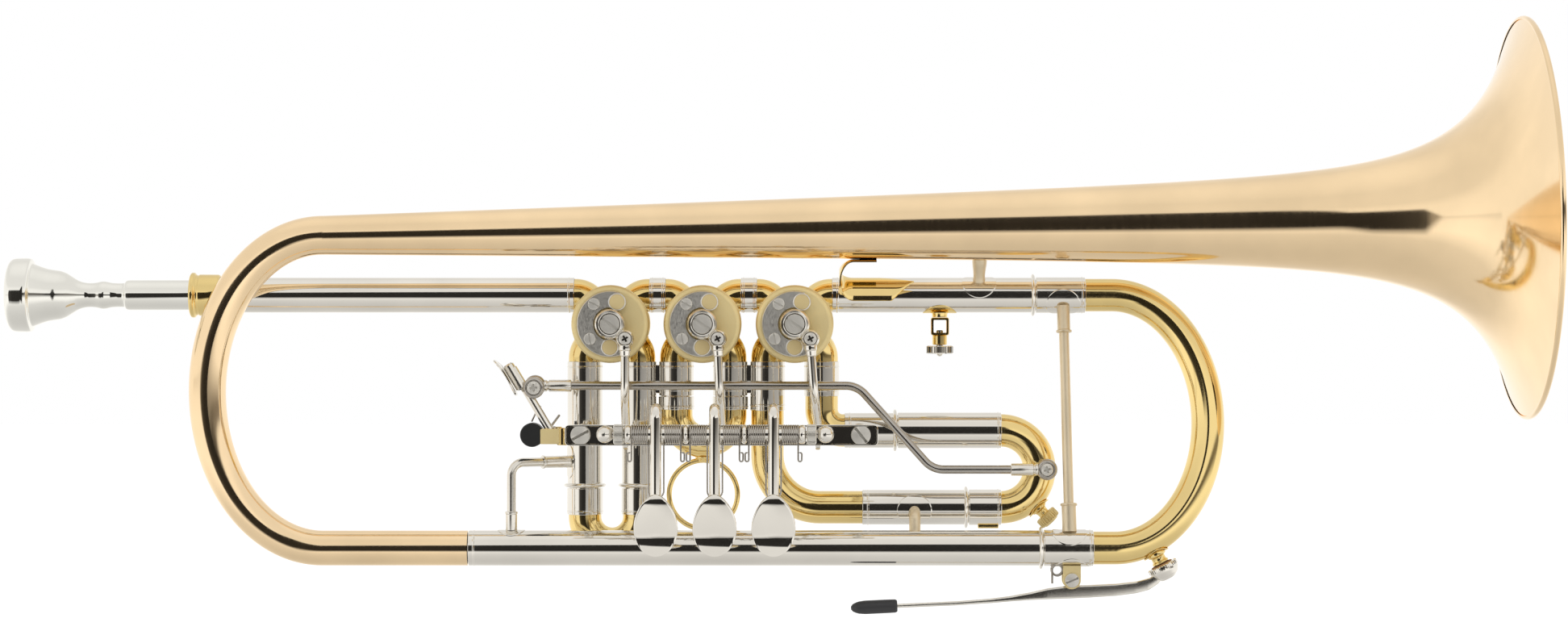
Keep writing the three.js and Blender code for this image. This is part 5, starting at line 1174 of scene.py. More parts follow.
class TRUMPET_OT_slides(TrumpetOperator, bpy.types.Operator):
    """Draw and bend the three valve slides with their sleeves"""

    bl_idname = "trumpet.slides"
    bl_label = "Valve slides"

    def execute(self, context):
        t = in_mm(context.scene.trumpet_tubes)
        one, two, three = VALVE_X
        first, second, upper, lower = 44.5, 12.0, 12.2, 17.3
        self.sleeves(t, "slide_1_sleeve_drawn", "slide_sleeve_1_left", (one - LEG_OFFSET, first, True))
        pair = (one + LEG_OFFSET, first, True), (two - LEG_OFFSET, second, False)
        self.sleeves(t, "slide_sleeves_left_pair", "slide_sleeves_1_2", *pair)
        pair = (two + LEG_OFFSET, second, False), (three - LEG_OFFSET, lower, False)
        self.sleeves(t, "slide_sleeves_right_pair", "slide_sleeves_2_3", *pair)
        self.sleeves(t, "slide_3_sleeve_drawn", "slide_sleeve_3_right", (three + LEG_OFFSET, upper, False))
        self.hanging_bow(t, "slide_1", one, first, leg=36.0, ferrule=9.6, drop=68.2)
        self.hanging_bow(t, "slide_2", two, second, leg=10.4, ferrule=5.0, drop=32.0)
        self.elbow(t, "upper", three + LEG_OFFSET, upper, UPPER_Z, 7.4, UPPER_ELBOW_X)
        self.elbow(t, "lower", three - LEG_OFFSET, lower, LOWER_Z, 18.6, LOWER_ELBOW_X)
        self.third_sleeves(t)
        self.third_bow(t)
        return {"FINISHED"}

    def sleeves(self, t, name, node, *tubes):
        """Sleeves under the valves, each at an x, so long and with a bead or not; a pair is soldered."""
        shape = Shape()
        for x, long, mouth in tubes:
            tube_between(shape, t, (x, 0, SLEEVE_TOP), long, DOWN, mouth)
        if len(tubes) == 2:
            left, right = tubes[0][0], tubes[1][0]
            middle = (left + right) / 2
            gap = right - left - 2 * t.sleeve
            outline = box_outline(gap + 1.2, 10.0, 0.3, 2)
            shape.plate(outline, (middle, 2.5, SLEEVE_TOP - 6.2), RIGHT, UP, 5.0, NICKEL_TUBE)
        shape.place(name, "trumpet", node, slot="nickel_silver")

    def hanging_bow(self, t, body, x, sleeve, leg, ferrule, drop):
        shape = Shape()
        mouth = SLEEVE_TOP - sleeve
        for side in (-1, 1):
            slide_leg(shape, t, (x + side * LEG_OFFSET, 0, mouth), leg, ferrule, DOWN)
        start = mouth - ferrule + 1.5
        path = Path((x - LEG_OFFSET, 0, start), DOWN)
        path.straight(drop + start)
        path.bend(LEG_OFFSET, FRONT, math.pi, 40)
        path.straight(drop + start)
        shape.swept(path, t.tube, YELLOW_BRASS, sides=56)
        if body == "slide_2":
            # the pull ring under the bow, on its foot
            bottom = -drop - LEG_OFFSET - t.tube
            foot = [(0, -0.8), (2.9, -0.5), (2.9, 0.0), (2.2, 0.7), (1.6, 1.5), (0, 1.5)]
            shape.turned(rounded(foot, 0.2), (x, 0, bottom), DOWN, YELLOW_BRASS, sides=36)
            ring = Path((x, 0, bottom - 0.85), RIGHT)
            ring.bend(12.1, BACK, 2 * math.pi, 96)
            shape.swept(ring, 0.95, YELLOW_BRASS, sides=24)
        shape.place(f"{body}_bow_bent", body, f"{body}_bow", slot="yellow_brass")

    def elbow(self, t, name, x, sleeve, level, radius, end):
        shape = Shape()
        overlap = 0.05
        start = SLEEVE_TOP - sleeve - overlap
        path = Path((x, 0, start), DOWN)
        path.straight(start - level - radius)
        path.bend(radius, FRONT, math.pi / 2, 24)
        path.straight(end - overlap - x - radius)
        shape.swept(path, t.tube, YELLOW_BRASS, sides=56)
        shape.place(f"slide_3_{name}_elbow_bent", "trumpet", f"slide_3_{name}_elbow", slot="yellow_brass")

    def third_sleeves(self, t):
        for name, start, end, level in (
            ("upper", UPPER_ELBOW_X, UPPER_MOUTH_X, UPPER_Z),
            ("lower", LOWER_ELBOW_X, LOWER_MOUTH_X, LOWER_Z),
        ):
            shape = Shape()
            tube_between(shape, t, (start, 0, level), end - start, RIGHT)
            if name == "lower":
                # the bent post that stands between the sleeve and the bell's tail
                post_x = 74.6
                origin = Vector((post_x, 0, level))
                target = Vector((post_x, LOW_PLANE, BOTTOM_Z))
                way = (target - origin).normalized()
                facing = (way * 0.35 + FRONT).normalized()
                saddle(shape, origin, RIGHT, facing, t.sleeve, 6.2, NICKEL_TUBE)
                foot, head = origin + facing * (t.sleeve - 0.5), target - way * (t.sleeve - 0.4)
                knee = origin + facing * (t.sleeve + 3.0) + DOWN * 0.6
                shape.swept(through([foot, knee, head], 2.6), 2.0, NICKEL_WARM, sides=32)
            node = f"slide_3_{name}_sleeve"
            shape.place(f"{node}_drawn", "trumpet", node, slot="nickel_silver")

    def third_bow(self, t):
        shape = Shape()
        for mouth_x, level, leg in ((UPPER_MOUTH_X, UPPER_Z, 15.0), (LOWER_MOUTH_X, LOWER_Z, 30.0)):
            slide_leg(shape, t, (mouth_x, 0, level), leg, THIRD_BOW_X - mouth_x, RIGHT)
        radius, seat = (UPPER_Z - LOWER_Z) / 2, 1.5
        path = Path((THIRD_BOW_X - seat, 0, UPPER_Z), RIGHT)
        path.straight(seat)
        path.bend(radius, BACK, math.pi, 48)
        path.straight(seat)
        shape.swept(path, t.tube, YELLOW_BRASS, sides=56)
        # the knurled knob, on its saddle
        middle = Vector((THIRD_BOW_X, 0, UPPER_Z - radius))
        turn = math.radians(46)
        out = Vector((math.cos(turn), 0, -math.sin(turn)))
        around = Vector((math.sin(turn), 0, math.cos(turn)))
        saddle(shape, middle + out * radius, around, out, t.tube, 4.6, YELLOW_BRASS)
        wall = middle + out * (radius + t.tube)
        neck = [(0, -0.5), (3.0, -0.5), (3.0, 0.4), (2.3, 0.8), (2.0, 1.6), (2.0, 3.4), (0, 3.4)]
        shape.turned(rounded(neck, 0.2), wall, out, YELLOW_BRASS, sides=36)
        shape.knurled(wall + out * 2.9, out, 4.0, 3.3, TURNED_BRASS, teeth=26, depth=0.4)
        shape.turned([(0, 0), (2.9, 0), (2.6, 0.5), (0, 0.6)], wall + out * 6.15, out, TURNED_BRASS, sides=36)
        # the brass stop under the lower leg
        stop = box_outline(7.3, 1.7, 0.3, 2)
        shape.plate(stop, (100.8, 2.0, -71.4), RIGHT, UP, 4.0, YELLOW_BRASS)
        # the boss and the stud that the push rod's end turns on
        boss = [(0, 4.6), (2.9, 4.6), (2.6, 5.6), (2.4, 7.3), (0, 7.3)]
        shape.turned(boss, ROD_END, FRONT, YELLOW_BRASS, sides=36)
        shape.rod(ROD_END + FRONT * 5.0, ROD_END + FRONT * 10.6, 1.3, STEEL)
        shape.screw(ROD_END + FRONT * 10.4, FRONT, 2.2, 0.8, NICKEL_MATT, cross=True, angle=0.3, dome=0.3)
        shape.place("slide_3_bow_bent", "slide_3", "slide_3_bow", slot="yellow_brass")


class TRUMPET_OT_trigger(TrumpetOperator, bpy.types.Operator):
    """Make the trigger, its bracket and spring, and the push rod"""

    bl_idname = "trumpet.trigger"
    bl_label = "Third slide trigger"

    def execute(self, context):
        t = in_mm(context.scene.trumpet_tubes)
        self.push_rod()
        self.lever()
        self.bracket(t)
        return {"FINISHED"}

    def push_rod(self):
        """A rod with two bends, its eyes held in turned sleeves."""
        shape = Shape()
        start, end = Vector((-58.97, -9.2, -21.7)), ROD_END + FRONT * 9.2
        neck, bend_x, radius, turn = 3.2, 50.3, 9.0, math.radians(48)
        slope = (start.z - end.z - 2 * radius * (1 - math.cos(turn))) / math.sin(turn)
        path = Path(start + RIGHT * neck, RIGHT)
        path.straight(bend_x - path.point.x)
        path.bend(radius, BACK, turn, 16)
        path.straight(slope)
        path.bend(radius, FRONT, turn, 16)
        path.straight(end.x - neck - path.point.x)
        shape.swept(path, 1.5, STEEL, sides=32)
        sleeve = [
            (0, neck), (2.1, neck), (2.1, 4.1), (1.75, 4.3), (1.75, 4.7), (2.15, 4.9), (2.15, 12.6),
            (1.7, 12.8), (0, 12.8),
        ]
        for centre, bore, way in ((start, 2.3, RIGHT), (end, 1.6, LEFT)):
            eye = [
                (bore, -1.5), (3.0, -1.5), (3.65, -0.9), (3.8, 0), (3.65, 0.9), (3.0, 1.5), (2.7, 1.6),
                (2.5, 1.45), (bore, 1.45),
            ]
            shape.turned(rounded(eye, 0.25, 2, closed=True), centre, FRONT, STEEL, sides=56, wrap=True)
            shape.turned(rounded(sleeve, 0.12, 2), centre, way, NICKEL_TURNED, sides=40)
        shape.place("push_rod_bent", "slide_3", "trigger_rod", slot="steel")

    def lever(self):
        shape = Shape()
        pivot = TRIGGER_PIVOT
        stud = pivot + Vector((-6.57, 0, 16.5))
        tip = Vector((-14.6, 0, 24.4))
        along = tip.normalized()
        across = Vector((along.z, 0, -along.x))
        base = pivot + FRONT * 15.7
        reach = tip.length
        shape.rod(base, base + along * (reach - 1), 1.5, NICKEL_TURNED)
        # the head of the arm, which the thumb plate is soldered to
        middle = base - across * 0.9
        start, end = middle + along * (reach - 9.2), middle + along * (reach + 0.9)
        shape.rod(start, end, 2.0, NICKEL_TURNED, edge=0.6)
        hub = [(1.5, 14.4), (2.4, 14.4), (2.6, 14.6), (2.6, 16.6), (2.4, 16.8), (1.5, 16.8)]
        shape.turned(hub, pivot, FRONT, NICKEL_TUBE, sides=48, wrap=True)
        lug = [(0, 14.4), (2.3, 14.4), (2.4, 14.6), (2.4, 16.8), (2.2, 17.0), (0, 17.0)]
        shape.turned(lug, stud, FRONT, NICKEL_TUBE, sides=48)
        shape.rod(stud + FRONT * 7.7, stud + FRONT * 14.6, 1.2, STEEL)
        head = [
            (0, 16.9), (3.4, 16.9), (3.8, 17.5), (3.7, 18.2), (3.0, 18.8), (2.6, 18.8), (2.5, 18.4),
            (0, 18.4),
        ]
        shape.turned(rounded(head, 0.25, 3), stud, FRONT, STEEL, sides=56)
        shape.screw(stud + FRONT * 18.3, FRONT, 2.4, 0.6, NICKEL_MATT, cross=True, angle=0.1, dome=0.3)
        # the thumb plate is a shallow trough, wider than the arm
        seat = base + tip + Vector((-1.5, 0, -4.1)) - across * 0.1
        half_length, half_width = 7.4, 6.0
        rings = []
        for share, lift in (
            (0.94, -0.45), (1.0, -0.3), (1.0, 0.1), (0.97, 0.35), (0.85, 0.45), (0.5, 0.4), (0.15, 0.35),
        ):
            ring = []
            for turn in angles(72):
                c, s = math.cos(turn), math.sin(turn)
                a = math.copysign(abs(c) ** 0.7, c) * share
                w = math.copysign(abs(s) ** 0.7, s) * share
                # its upper end turns up to a thin edge
                curl = 0.7 * a**2 + (0.5 * a**3 if a > 0 else 0)
                out = along * (a * half_length) + FRONT * (w * half_width)
                ring.append(seat + out - across * (lift + curl - 0.3))
            rings.append(ring)
        shape.skin(rings, NICKEL_TURNED)
        shape.place("trigger_formed", "trigger", "trigger_lever", slot="nickel_silver")

    def bracket(self, t):
        shape = Shape()
        pivot = TRIGGER_PIVOT
        outline = box_outline(6.2, 5.6, 0.5)
        shape.plate(outline, pivot + FRONT * 9.1, RIGHT, UP, 5.0, YELLOW_BRASS, 0.3)
        shape.rod(pivot + FRONT * 13.5, pivot + FRONT * 17.4, 1.2, STEEL)
        # the cheek in front of the lever's hub, with an upright rod at its right side
        cheek = box_outline(7.0, 5.4, 0.5, 3)
        shape.plate(cheek, pivot + Vector((-0.9, -16.95, -0.5)), RIGHT, UP, 0.9, TURNED_BRASS, 0.3)
        shape.rod(pivot + Vector((3.5, -15.6, -3.6)), pivot + Vector((3.5, -15.6, 2.5)), 2.1, YELLOW_BRASS)
        disc = [(0, 10.1), (3.9, 10.1), (4.2, 10.4), (4.2, 17.3), (3.9, 17.7), (0, 17.7)]
        shape.turned(disc, pivot + LEFT * 7.2, FRONT, ACETAL, sides=64)
        # the arm to the first slide's sleeve
        axis = Vector((FIRST_LEG_X, 0, pivot.z))
        start = pivot + FRONT * 11.6
        way = (axis - start).normalized()
        shape.rod(start, axis - way * (t.sleeve + 0.1), 1.7, YELLOW_BRASS)
        flange = [(0, -1.6), (2.2, -1.2), (2.6, -0.4), (2.6, 0), (0, 0)]
        shape.turned(rounded(flange, 0.2), axis - way * (t.sleeve + 0.15), way, YELLOW_BRASS, sides=32)
        # the torsion spring round the pivot, its two ends bearing on the bracket and the lever
        wire = 0.32
        leg = [pivot + Vector(p) for p in ((-7.6, -12.4, 4.6), (-4.9, -13.4, 10.2), (-4.3, -13.4, 9.6))]
        shape.swept(through(leg, 0.8), wire, STEEL, sides=12)
        start, end = pivot + Vector((-1.0, -13.8, 2.6)), pivot + Vector((2.3, -13.8, 7.0))
        shape.rod(start, end, 0.42, STEEL, sides=16)
        turns, radius, width = 3.4, 2.6, 4.4

        def wind(share):
            turn = 2 * math.pi * turns * share
            return pivot + Vector((radius * math.cos(turn), -9.6 - width * share, radius * math.sin(turn)))

        wound = Path(wind(0), UP)
        wound.marks = []
        wound.follow(wind, 90)
        shape.swept(wound, wire, STEEL, sides=12)
        shape.place("trigger_bracket_turned", "trumpet", "trigger_bracket", slot="yellow_brass")


def tuning_oval(share):
    """The centreline of the tuning bow, from the main line down and forward to the bell's tail."""
    turn = math.pi * share
    swing = (1 - math.cos(turn)) / 2
    drop = LINE_Z - BOTTOM_Z
    return Vector((TUNING_X + TUNING_REACH * math.sin(turn), LOW_PLANE * swing, LINE_Z - drop * swing))


def water_nipple():
    """The place on the tuning bow's centreline over the water nipple, and the way out of it."""
    near = tuning_oval(0.5 + 69 / 180)
    half = (LINE_Z - BOTTOM_Z) / 2
    steep = (near.z - BOTTOM_Z - half) / half**2
    return near, Vector(((near.x - TUNING_X) / TUNING_REACH**2, 0, steep)).normalized()


class TRUMPET_OT_tuning_slide(TrumpetOperator, bpy.types.Operator):
    """Bend the tuning slide and its brace, and make the water key"""

    bl_idname = "trumpet.tuning_slide"
    bl_label = "Tuning slide"

    def execute(self, context):
        t = in_mm(context.scene.trumpet_tubes)
        self.bow(t)
        self.brace(t)
        self.water_key(t)
        self.grip()
        return {"FINISHED"}

    def bow(self, t):
        shape = Shape()
        leg, seat, upper_end, lower_end = 36.0, 1.5, 135.1, 136.9
        upper_mouth, lower_mouth = Vector((117.4, 0, LINE_Z)), Vector((119.3, LOW_PLANE, BOTTOM_Z))
        slide_leg(shape, t, upper_mouth, leg, upper_end - upper_mouth.x, RIGHT)
        slide_leg(shape, t, lower_mouth, leg, lower_end - lower_mouth.x, RIGHT)
        path = Path((upper_end - seat, 0, LINE_Z), RIGHT)
        path.straight(TUNING_X - upper_end + seat)
        path.follow(tuning_oval, 96)
        path.straight(TUNING_X - lower_end + seat)
        shape.swept(path, t.tube, YELLOW_BRASS, sides=64)
        near, out = water_nipple()
        around = Vector((-out.z, 0, out.x))
        saddle(shape, near, around, out, t.tube, 4.8, YELLOW_BRASS)
        nipple = [
            (0, -1.0), (3.3, -1.0), (3.3, 0.5), (2.5, 1.0), (2.5, 2.4), (3.0, 2.8), (3.0, 3.4), (1.6, 3.4),
            (1.6, 1.0), (0, 1.0),
        ]
        shape.turned(rounded(nipple, 0.2, 2), near + out * t.tube, out, YELLOW_BRASS, sides=44)
        # the two cheeks that the water key turns between
        pivot = WATER_PIVOT
        saddle(shape, (pivot.x, LOW_PLANE, BOTTOM_Z), RIGHT, DOWN, t.ferrule, 6.2, NICKEL_TUBE)
        radius, thick = 3.1, 1.1
        height = BOTTOM_Z - t.ferrule + 0.4 - pivot.z
        turns = [math.pi * (1 + j / 16) for j in range(17)]
        outline = [(radius * math.cos(turn), radius * math.sin(turn)) for turn in turns]
        outline += [(radius, height), (-radius, height)]
        for back in (-2.6, 2.6 + thick):
            shape.plate(outline, pivot + BACK * back, RIGHT, UP, thick, TURNED_BRASS, 0.2)
        shape.rod(pivot + FRONT * 3.6, pivot + BACK * 3.9, 1.0, STEEL)
        shape.screw(pivot + FRONT * 3.6, FRONT, 2.5, 0.9, NICKEL_MATT, angle=0.4, dome=0.4)
        # the spring, wound beside the post, which presses the lever's cork to its nipple
        middle = pivot + Vector((-5.0, 0, 3.4))
        turns, radius, half = 3.25, 1.9, 2.2

        def wind(share):
            turn = 2 * math.pi * turns * share + math.pi / 2
            return middle + Vector((radius * math.cos(turn), half * (1 - 2 * share), radius * math.sin(turn)))

        wire = Path(middle + Vector((4.0, half, radius)), LEFT)
        wire.straight(4.0)
        wire.follow(wind, 72)
        wire.straight(4.6)
        shape.swept(wire, 0.4, STEEL, sides=12)
        shape.place("tuning_slide_bent", "tuning_slide", "tuning_slide_bow", slot="yellow_brass")

    def brace(self, t):
        shape = Shape()
        upper_axis = Vector((127.1, 0, LINE_Z))
        lower_axis = Vector((128.5, LOW_PLANE, BOTTOM_Z))
        reach = t.ferrule + 0.05
        upper_front, lower_front = 5.2, 2.6
        upper = upper_axis + Vector((0, -upper_front, -math.sqrt(reach**2 - upper_front**2)))
        lower = lower_axis + Vector((0, -lower_front, math.sqrt(reach**2 - lower_front**2)))
        way = (lower - upper).normalized()
        saddle(shape, upper_axis, RIGHT, upper - upper_axis, t.ferrule, 6.2, NICKEL_TUBE)
        saddle(shape, lower_axis, RIGHT, lower - lower_axis, t.ferrule, 6.2, NICKEL_TUBE)
        shape.rod(upper, lower, 1.75, NICKEL_WARM)
        socket(shape, upper, way, 2.25, 9.6, NICKEL_WARM, lip=0.5)
        socket(shape, lower, -way, 2.5, 10.0, NICKEL_WARM, lip=0.45)
        shape.place("tuning_slide_brace_soldered", "tuning_slide", "tuning_slide_brace", slot="nickel_silver")

    def water_key(self, t):
        near, out = water_nipple()
        mouth = near + out * (t.tube + 3.7)
        shape = Shape()
        # stations along the lever: X, Z of its upper edge, height
        stations = (
            (67.6, -98.1, 1.4), (89.3, -97.1, 1.5), (101.0, -96.2, 1.6), (108.0, -95.3, 1.9),
            (115.0, -94.0, 2.7), (121.0, -92.6, 3.8), (129.3, -91.6, 4.5), (136.0, -91.4, 4.4),
            (145.0, -91.0, 4.2), (152.0, -90.2, 4.1), (156.5, -89.0, 4.1), (159.6, -87.4, 3.6),
            (162.2, -85.8, 2.2),
        )
        rings = []
        for station, following in zip(stations, stations[1:]):
            for j in range(6):
                s = j / 6
                s = s * s * (3 - 2 * s) * 0.4 + s * 0.6
                x, top, high = (a + (c - a) * s for a, c in zip(station, following))
                wide = 2.3 + 1.4 * min(1.0, max(0.0, (x - 100) / 20))
                section = box_outline(wide, high, 0.6, 3)
                rings.append([(x, LOW_PLANE + p, top - high / 2 + q) for p, q in section])
        shape.skin(rings, NICKEL_TURNED)
        hub = [(1.3, -1.9), (2.3, -1.9), (2.5, -1.7), (2.5, 1.7), (2.3, 1.9), (1.3, 1.9)]
        shape.turned(hub, WATER_PIVOT, BACK, NICKEL_TURNED, sides=40, wrap=True)
        # the cup over the nipple, with its knurled edge and its cork
        cup = [
            (0, 6.0), (2.6, 5.7), (4.2, 4.5), (5.1, 2.8), (5.3, 1.6), (5.2, 0.5), (4.2, 0.4), (4.2, 1.3),
            (0, 1.3),
        ]
        shape.turned(rounded(cup, 0.3, 3), mouth, out, NICKEL_TUBE, sides=64)
        shape.knurled(mouth + out * 0.35, out, 5.45, 1.9, NICKEL_TUBE, teeth=34, depth=0.3)
        cork = [(0, 0.05), (3.6, 0.05), (4.1, 0.4), (4.1, 1.6), (0, 1.6)]
        shape.turned(rounded(cork, 0.2, 2), mouth, out, CORK, sides=48)
        shape.place("water_key_formed", "water_key", "water_key_lever", slot="nickel_silver")

    def grip(self):
        """The rubber sleeve on the end of the water key."""
        shape = Shape()
        tip = [
            (0, -0.4), (2.0, -0.4), (2.35, 0.3), (2.4, 3.0), (2.4, 11.0), (2.1, 13.6), (1.3, 15.3),
            (0.5, 15.9), (0, 15.9),
        ]
        shape.turned(rounded(tip, 0.8, 4), (67.9, LOW_PLANE, -98.8), (-21.7, 0, -1.0), RUBBER, sides=40)
        shape.place("water_key_grip", "water_key", "water_key_tip", slot="rubber")


class TRUMPET_OT_fittings(TrumpetOperator, bpy.types.Operator):
    """Make the braces, the lyre holder and the finger hook"""

    bl_idname = "trumpet.fittings"
    bl_label = "Braces and fittings"

    def execute(self, context):
        t, b = in_mm(context.scene.trumpet_tubes), in_mm(context.scene.trumpet_bell)
        self.bell_brace(t, b)
        self.corner_brace(t)
        self.lyre(t)
        self.finger_hook(b)
        return {"FINISHED"}

    def bell_brace(self, t, b):
        shape = Shape()
        x = 97.5
        axis = Vector((x, 0, LINE_Z))
        way = (bell_axis(x) - axis).normalized()
        start = axis + way * t.sleeve
        end = bell_axis(x) - way * (bell_radius(b, b.rim_x - x) + 0.05)
        long = (end - start).length
        saddle(shape, axis, RIGHT, way + FRONT * 0.3, t.sleeve, 6.2, NICKEL_TUBE)
        profile = [(0, -0.6), (2.4, -0.6), (2.0, 1.4), (2.2, long * 0.4), (2.6, long * 0.75)]
        profile += [(2.5, long), (0, long)]
        shape.turned(rounded(profile, 0.8, 4), start, way, NICKEL_WARM, sides=40)
        shape.place("bell_brace_soldered", "trumpet", "bell_brace", slot="nickel_silver")

    def corner_brace(self, t):
        shape = Shape()
        reach, radius, x, z = t.sleeve + 0.05, 4.5, -67.0, -48.6
        bottom = Vector((x, LOW_PLANE, BOTTOM_Z + reach))
        axis = Vector((FIRST_LEG_X, 0, z))
        across = (axis - Vector((x, LOW_PLANE, z))).normalized()
        end = axis - across * reach
        path = Path(bottom, UP)
        path.straight(z - bottom.z - radius)
        path.bend(radius, UP.cross(across), math.pi / 2, 20)
        path.straight((end - path.point).length)
        shape.swept(path, 1.6, NICKEL_TURNED, sides=32)
        socket(shape, bottom, UP, 2.1, 6.6, NICKEL_TURNED, lip=0.2)
        socket(shape, end, -across, 2.15, 10.6, NICKEL_TURNED, lip=0.2)
        saddle(shape, (x, LOW_PLANE, BOTTOM_Z), RIGHT, UP, t.sleeve, 4.8, NICKEL_TUBE)
        saddle(shape, axis, UP, -across, t.sleeve, 6.0, NICKEL_TUBE, girth=3.0)
        shape.place("corner_brace_soldered", "trumpet", "corner_brace", slot="nickel_silver")

    def lyre(self, t):
        shape = Shape()
        x = 83.7
        top = LINE_Z - t.sleeve
        centre = -0.85
        saddle(shape, (x, 0, LINE_Z), RIGHT, DOWN, t.sleeve, 6.0, YELLOW_BRASS)
        neck = [(0, 0), (2.9, 0), (2.7, 0.8), (2.7, 1.6), (0, 1.6)]
        shape.turned(neck, (x, 0, top), DOWN, YELLOW_BRASS, sides=36)
        outline = box_outline(6.3, 6.3, 0.7, 4)
        hole = box_outline(4.5, 4.5, 0.4, 4)
        half = 3.15
        rings = [
            facing_front(line, x, y, centre, amount)
            for line, y, amount in (
                (hole, -half, -0.15), (outline, -half, 0.2), (outline, 0.2 - half, 0),
                (outline, half - 0.2, 0), (outline, half, 0.2), (hole, half, -0.15),
                (hole, half - 0.15, 0), (hole, 0.15 - half, 0),
            )
        ]
        shape.skin(rings, YELLOW_BRASS, wrap=True)
        collar = [(1.6, 0), (2.3, 0), (2.6, 0.3), (2.6, 3.2), (2.3, 3.45), (1.6, 3.45)]
        shape.turned(collar, (x, 0, centre - 3.1), DOWN, YELLOW_BRASS, sides=40, wrap=True)
        shape.place("lyre_holder_milled", "trumpet", "lyre_holder", slot="nickel_silver")
        shape = Shape()
        shape.knurled((x, 0, -10.5), UP, 4.8, 2.8, NICKEL_TUBE, teeth=24, depth=0.45)
        shape.ball(1.2, (x, 0, -10.3), NICKEL_TUBE, sides=20)
        shape.rod((x, 0, -8.0), (x, 0, -2.2), 1.2, STEEL)
        shape.place("lyre_screw_knurled", "lyre_clamp", "lyre_screw", slot="nickel_silver")

    def finger_hook(self, b):
        """A strip that leaves the bell, curls under and widens into a cupped leaf tilted to the front."""
        shape = Shape()
        hook_x, root, reach, leaf_z = 60.0, 7.0, 14.2, 13.0
        top = bell_axis(hook_x).z - bell_radius(b, b.rim_x - hook_x) - 0.4
        drop = top - leaf_z
        path = Path((hook_x + 1.0, LOW_PLANE, top), LEFT)
        path.straight(root + 1.0)
        path.bend(drop / 2, FRONT, math.pi, 32)
        path.straight(root + reach)
        marks = []
        for (a, first, _), (c, second, _) in zip(path.marks, path.marks[1:]):
            pieces = max(1, int((c - a).length / 0.5))
            marks += [(a.lerp(c, j / pieces), first.lerp(second, j / pieces)) for j in range(pieces)]
        marks.append(path.marks[-1][:2])
        turn_start, turn_end = root + 1.0, root + 1.0 + math.pi * drop / 2
        total = turn_end + root + reach
        rings = []
        run, previous = 0.0, marks[0][0]
        for point, heading in marks:
            run += (point - previous).length
            previous = point
            turned = min(1.0, max(0.0, (run - turn_start) / (turn_end - turn_start)))
            turned = turned * turned * (3 - 2 * turned)
            tilt = math.radians(52) * turned
            across = Vector((0, -math.cos(tilt), -math.sin(tilt)))
            normal = heading.cross(across).normalized()
            wide = 3.1 + 1.9 * turned
            # the leaf is cut slanting at its end, to a point near its upper edge
            left = total - run
            front = wide * min(1.0, -0.5 + left / 5.2)
            back = wide * (0.5 + 0.5 * min(1.0, left / 12) ** 0.7)
            cup = 0.055 * turned - 0.045 * (1 - turned)
            ring = []
            steps = [-1 + 2 * j / 14 for j in range(15)]
            for half, shares in ((0.5, steps), (-0.5, steps[::-1])):
                for share in shares:
                    w = (front + back) / 2 * share + (front - back) / 2
                    thin = 0.9 * (1 - 0.5 * share**6)
                    ring.append(point + across * w - normal * (half * thin - cup * w * w))
            rings.append(ring)
        shape.skin(rings, YELLOW_BRASS)
        shape.place("finger_hook_bent", "trumpet", "finger_hook", slot="yellow_brass")


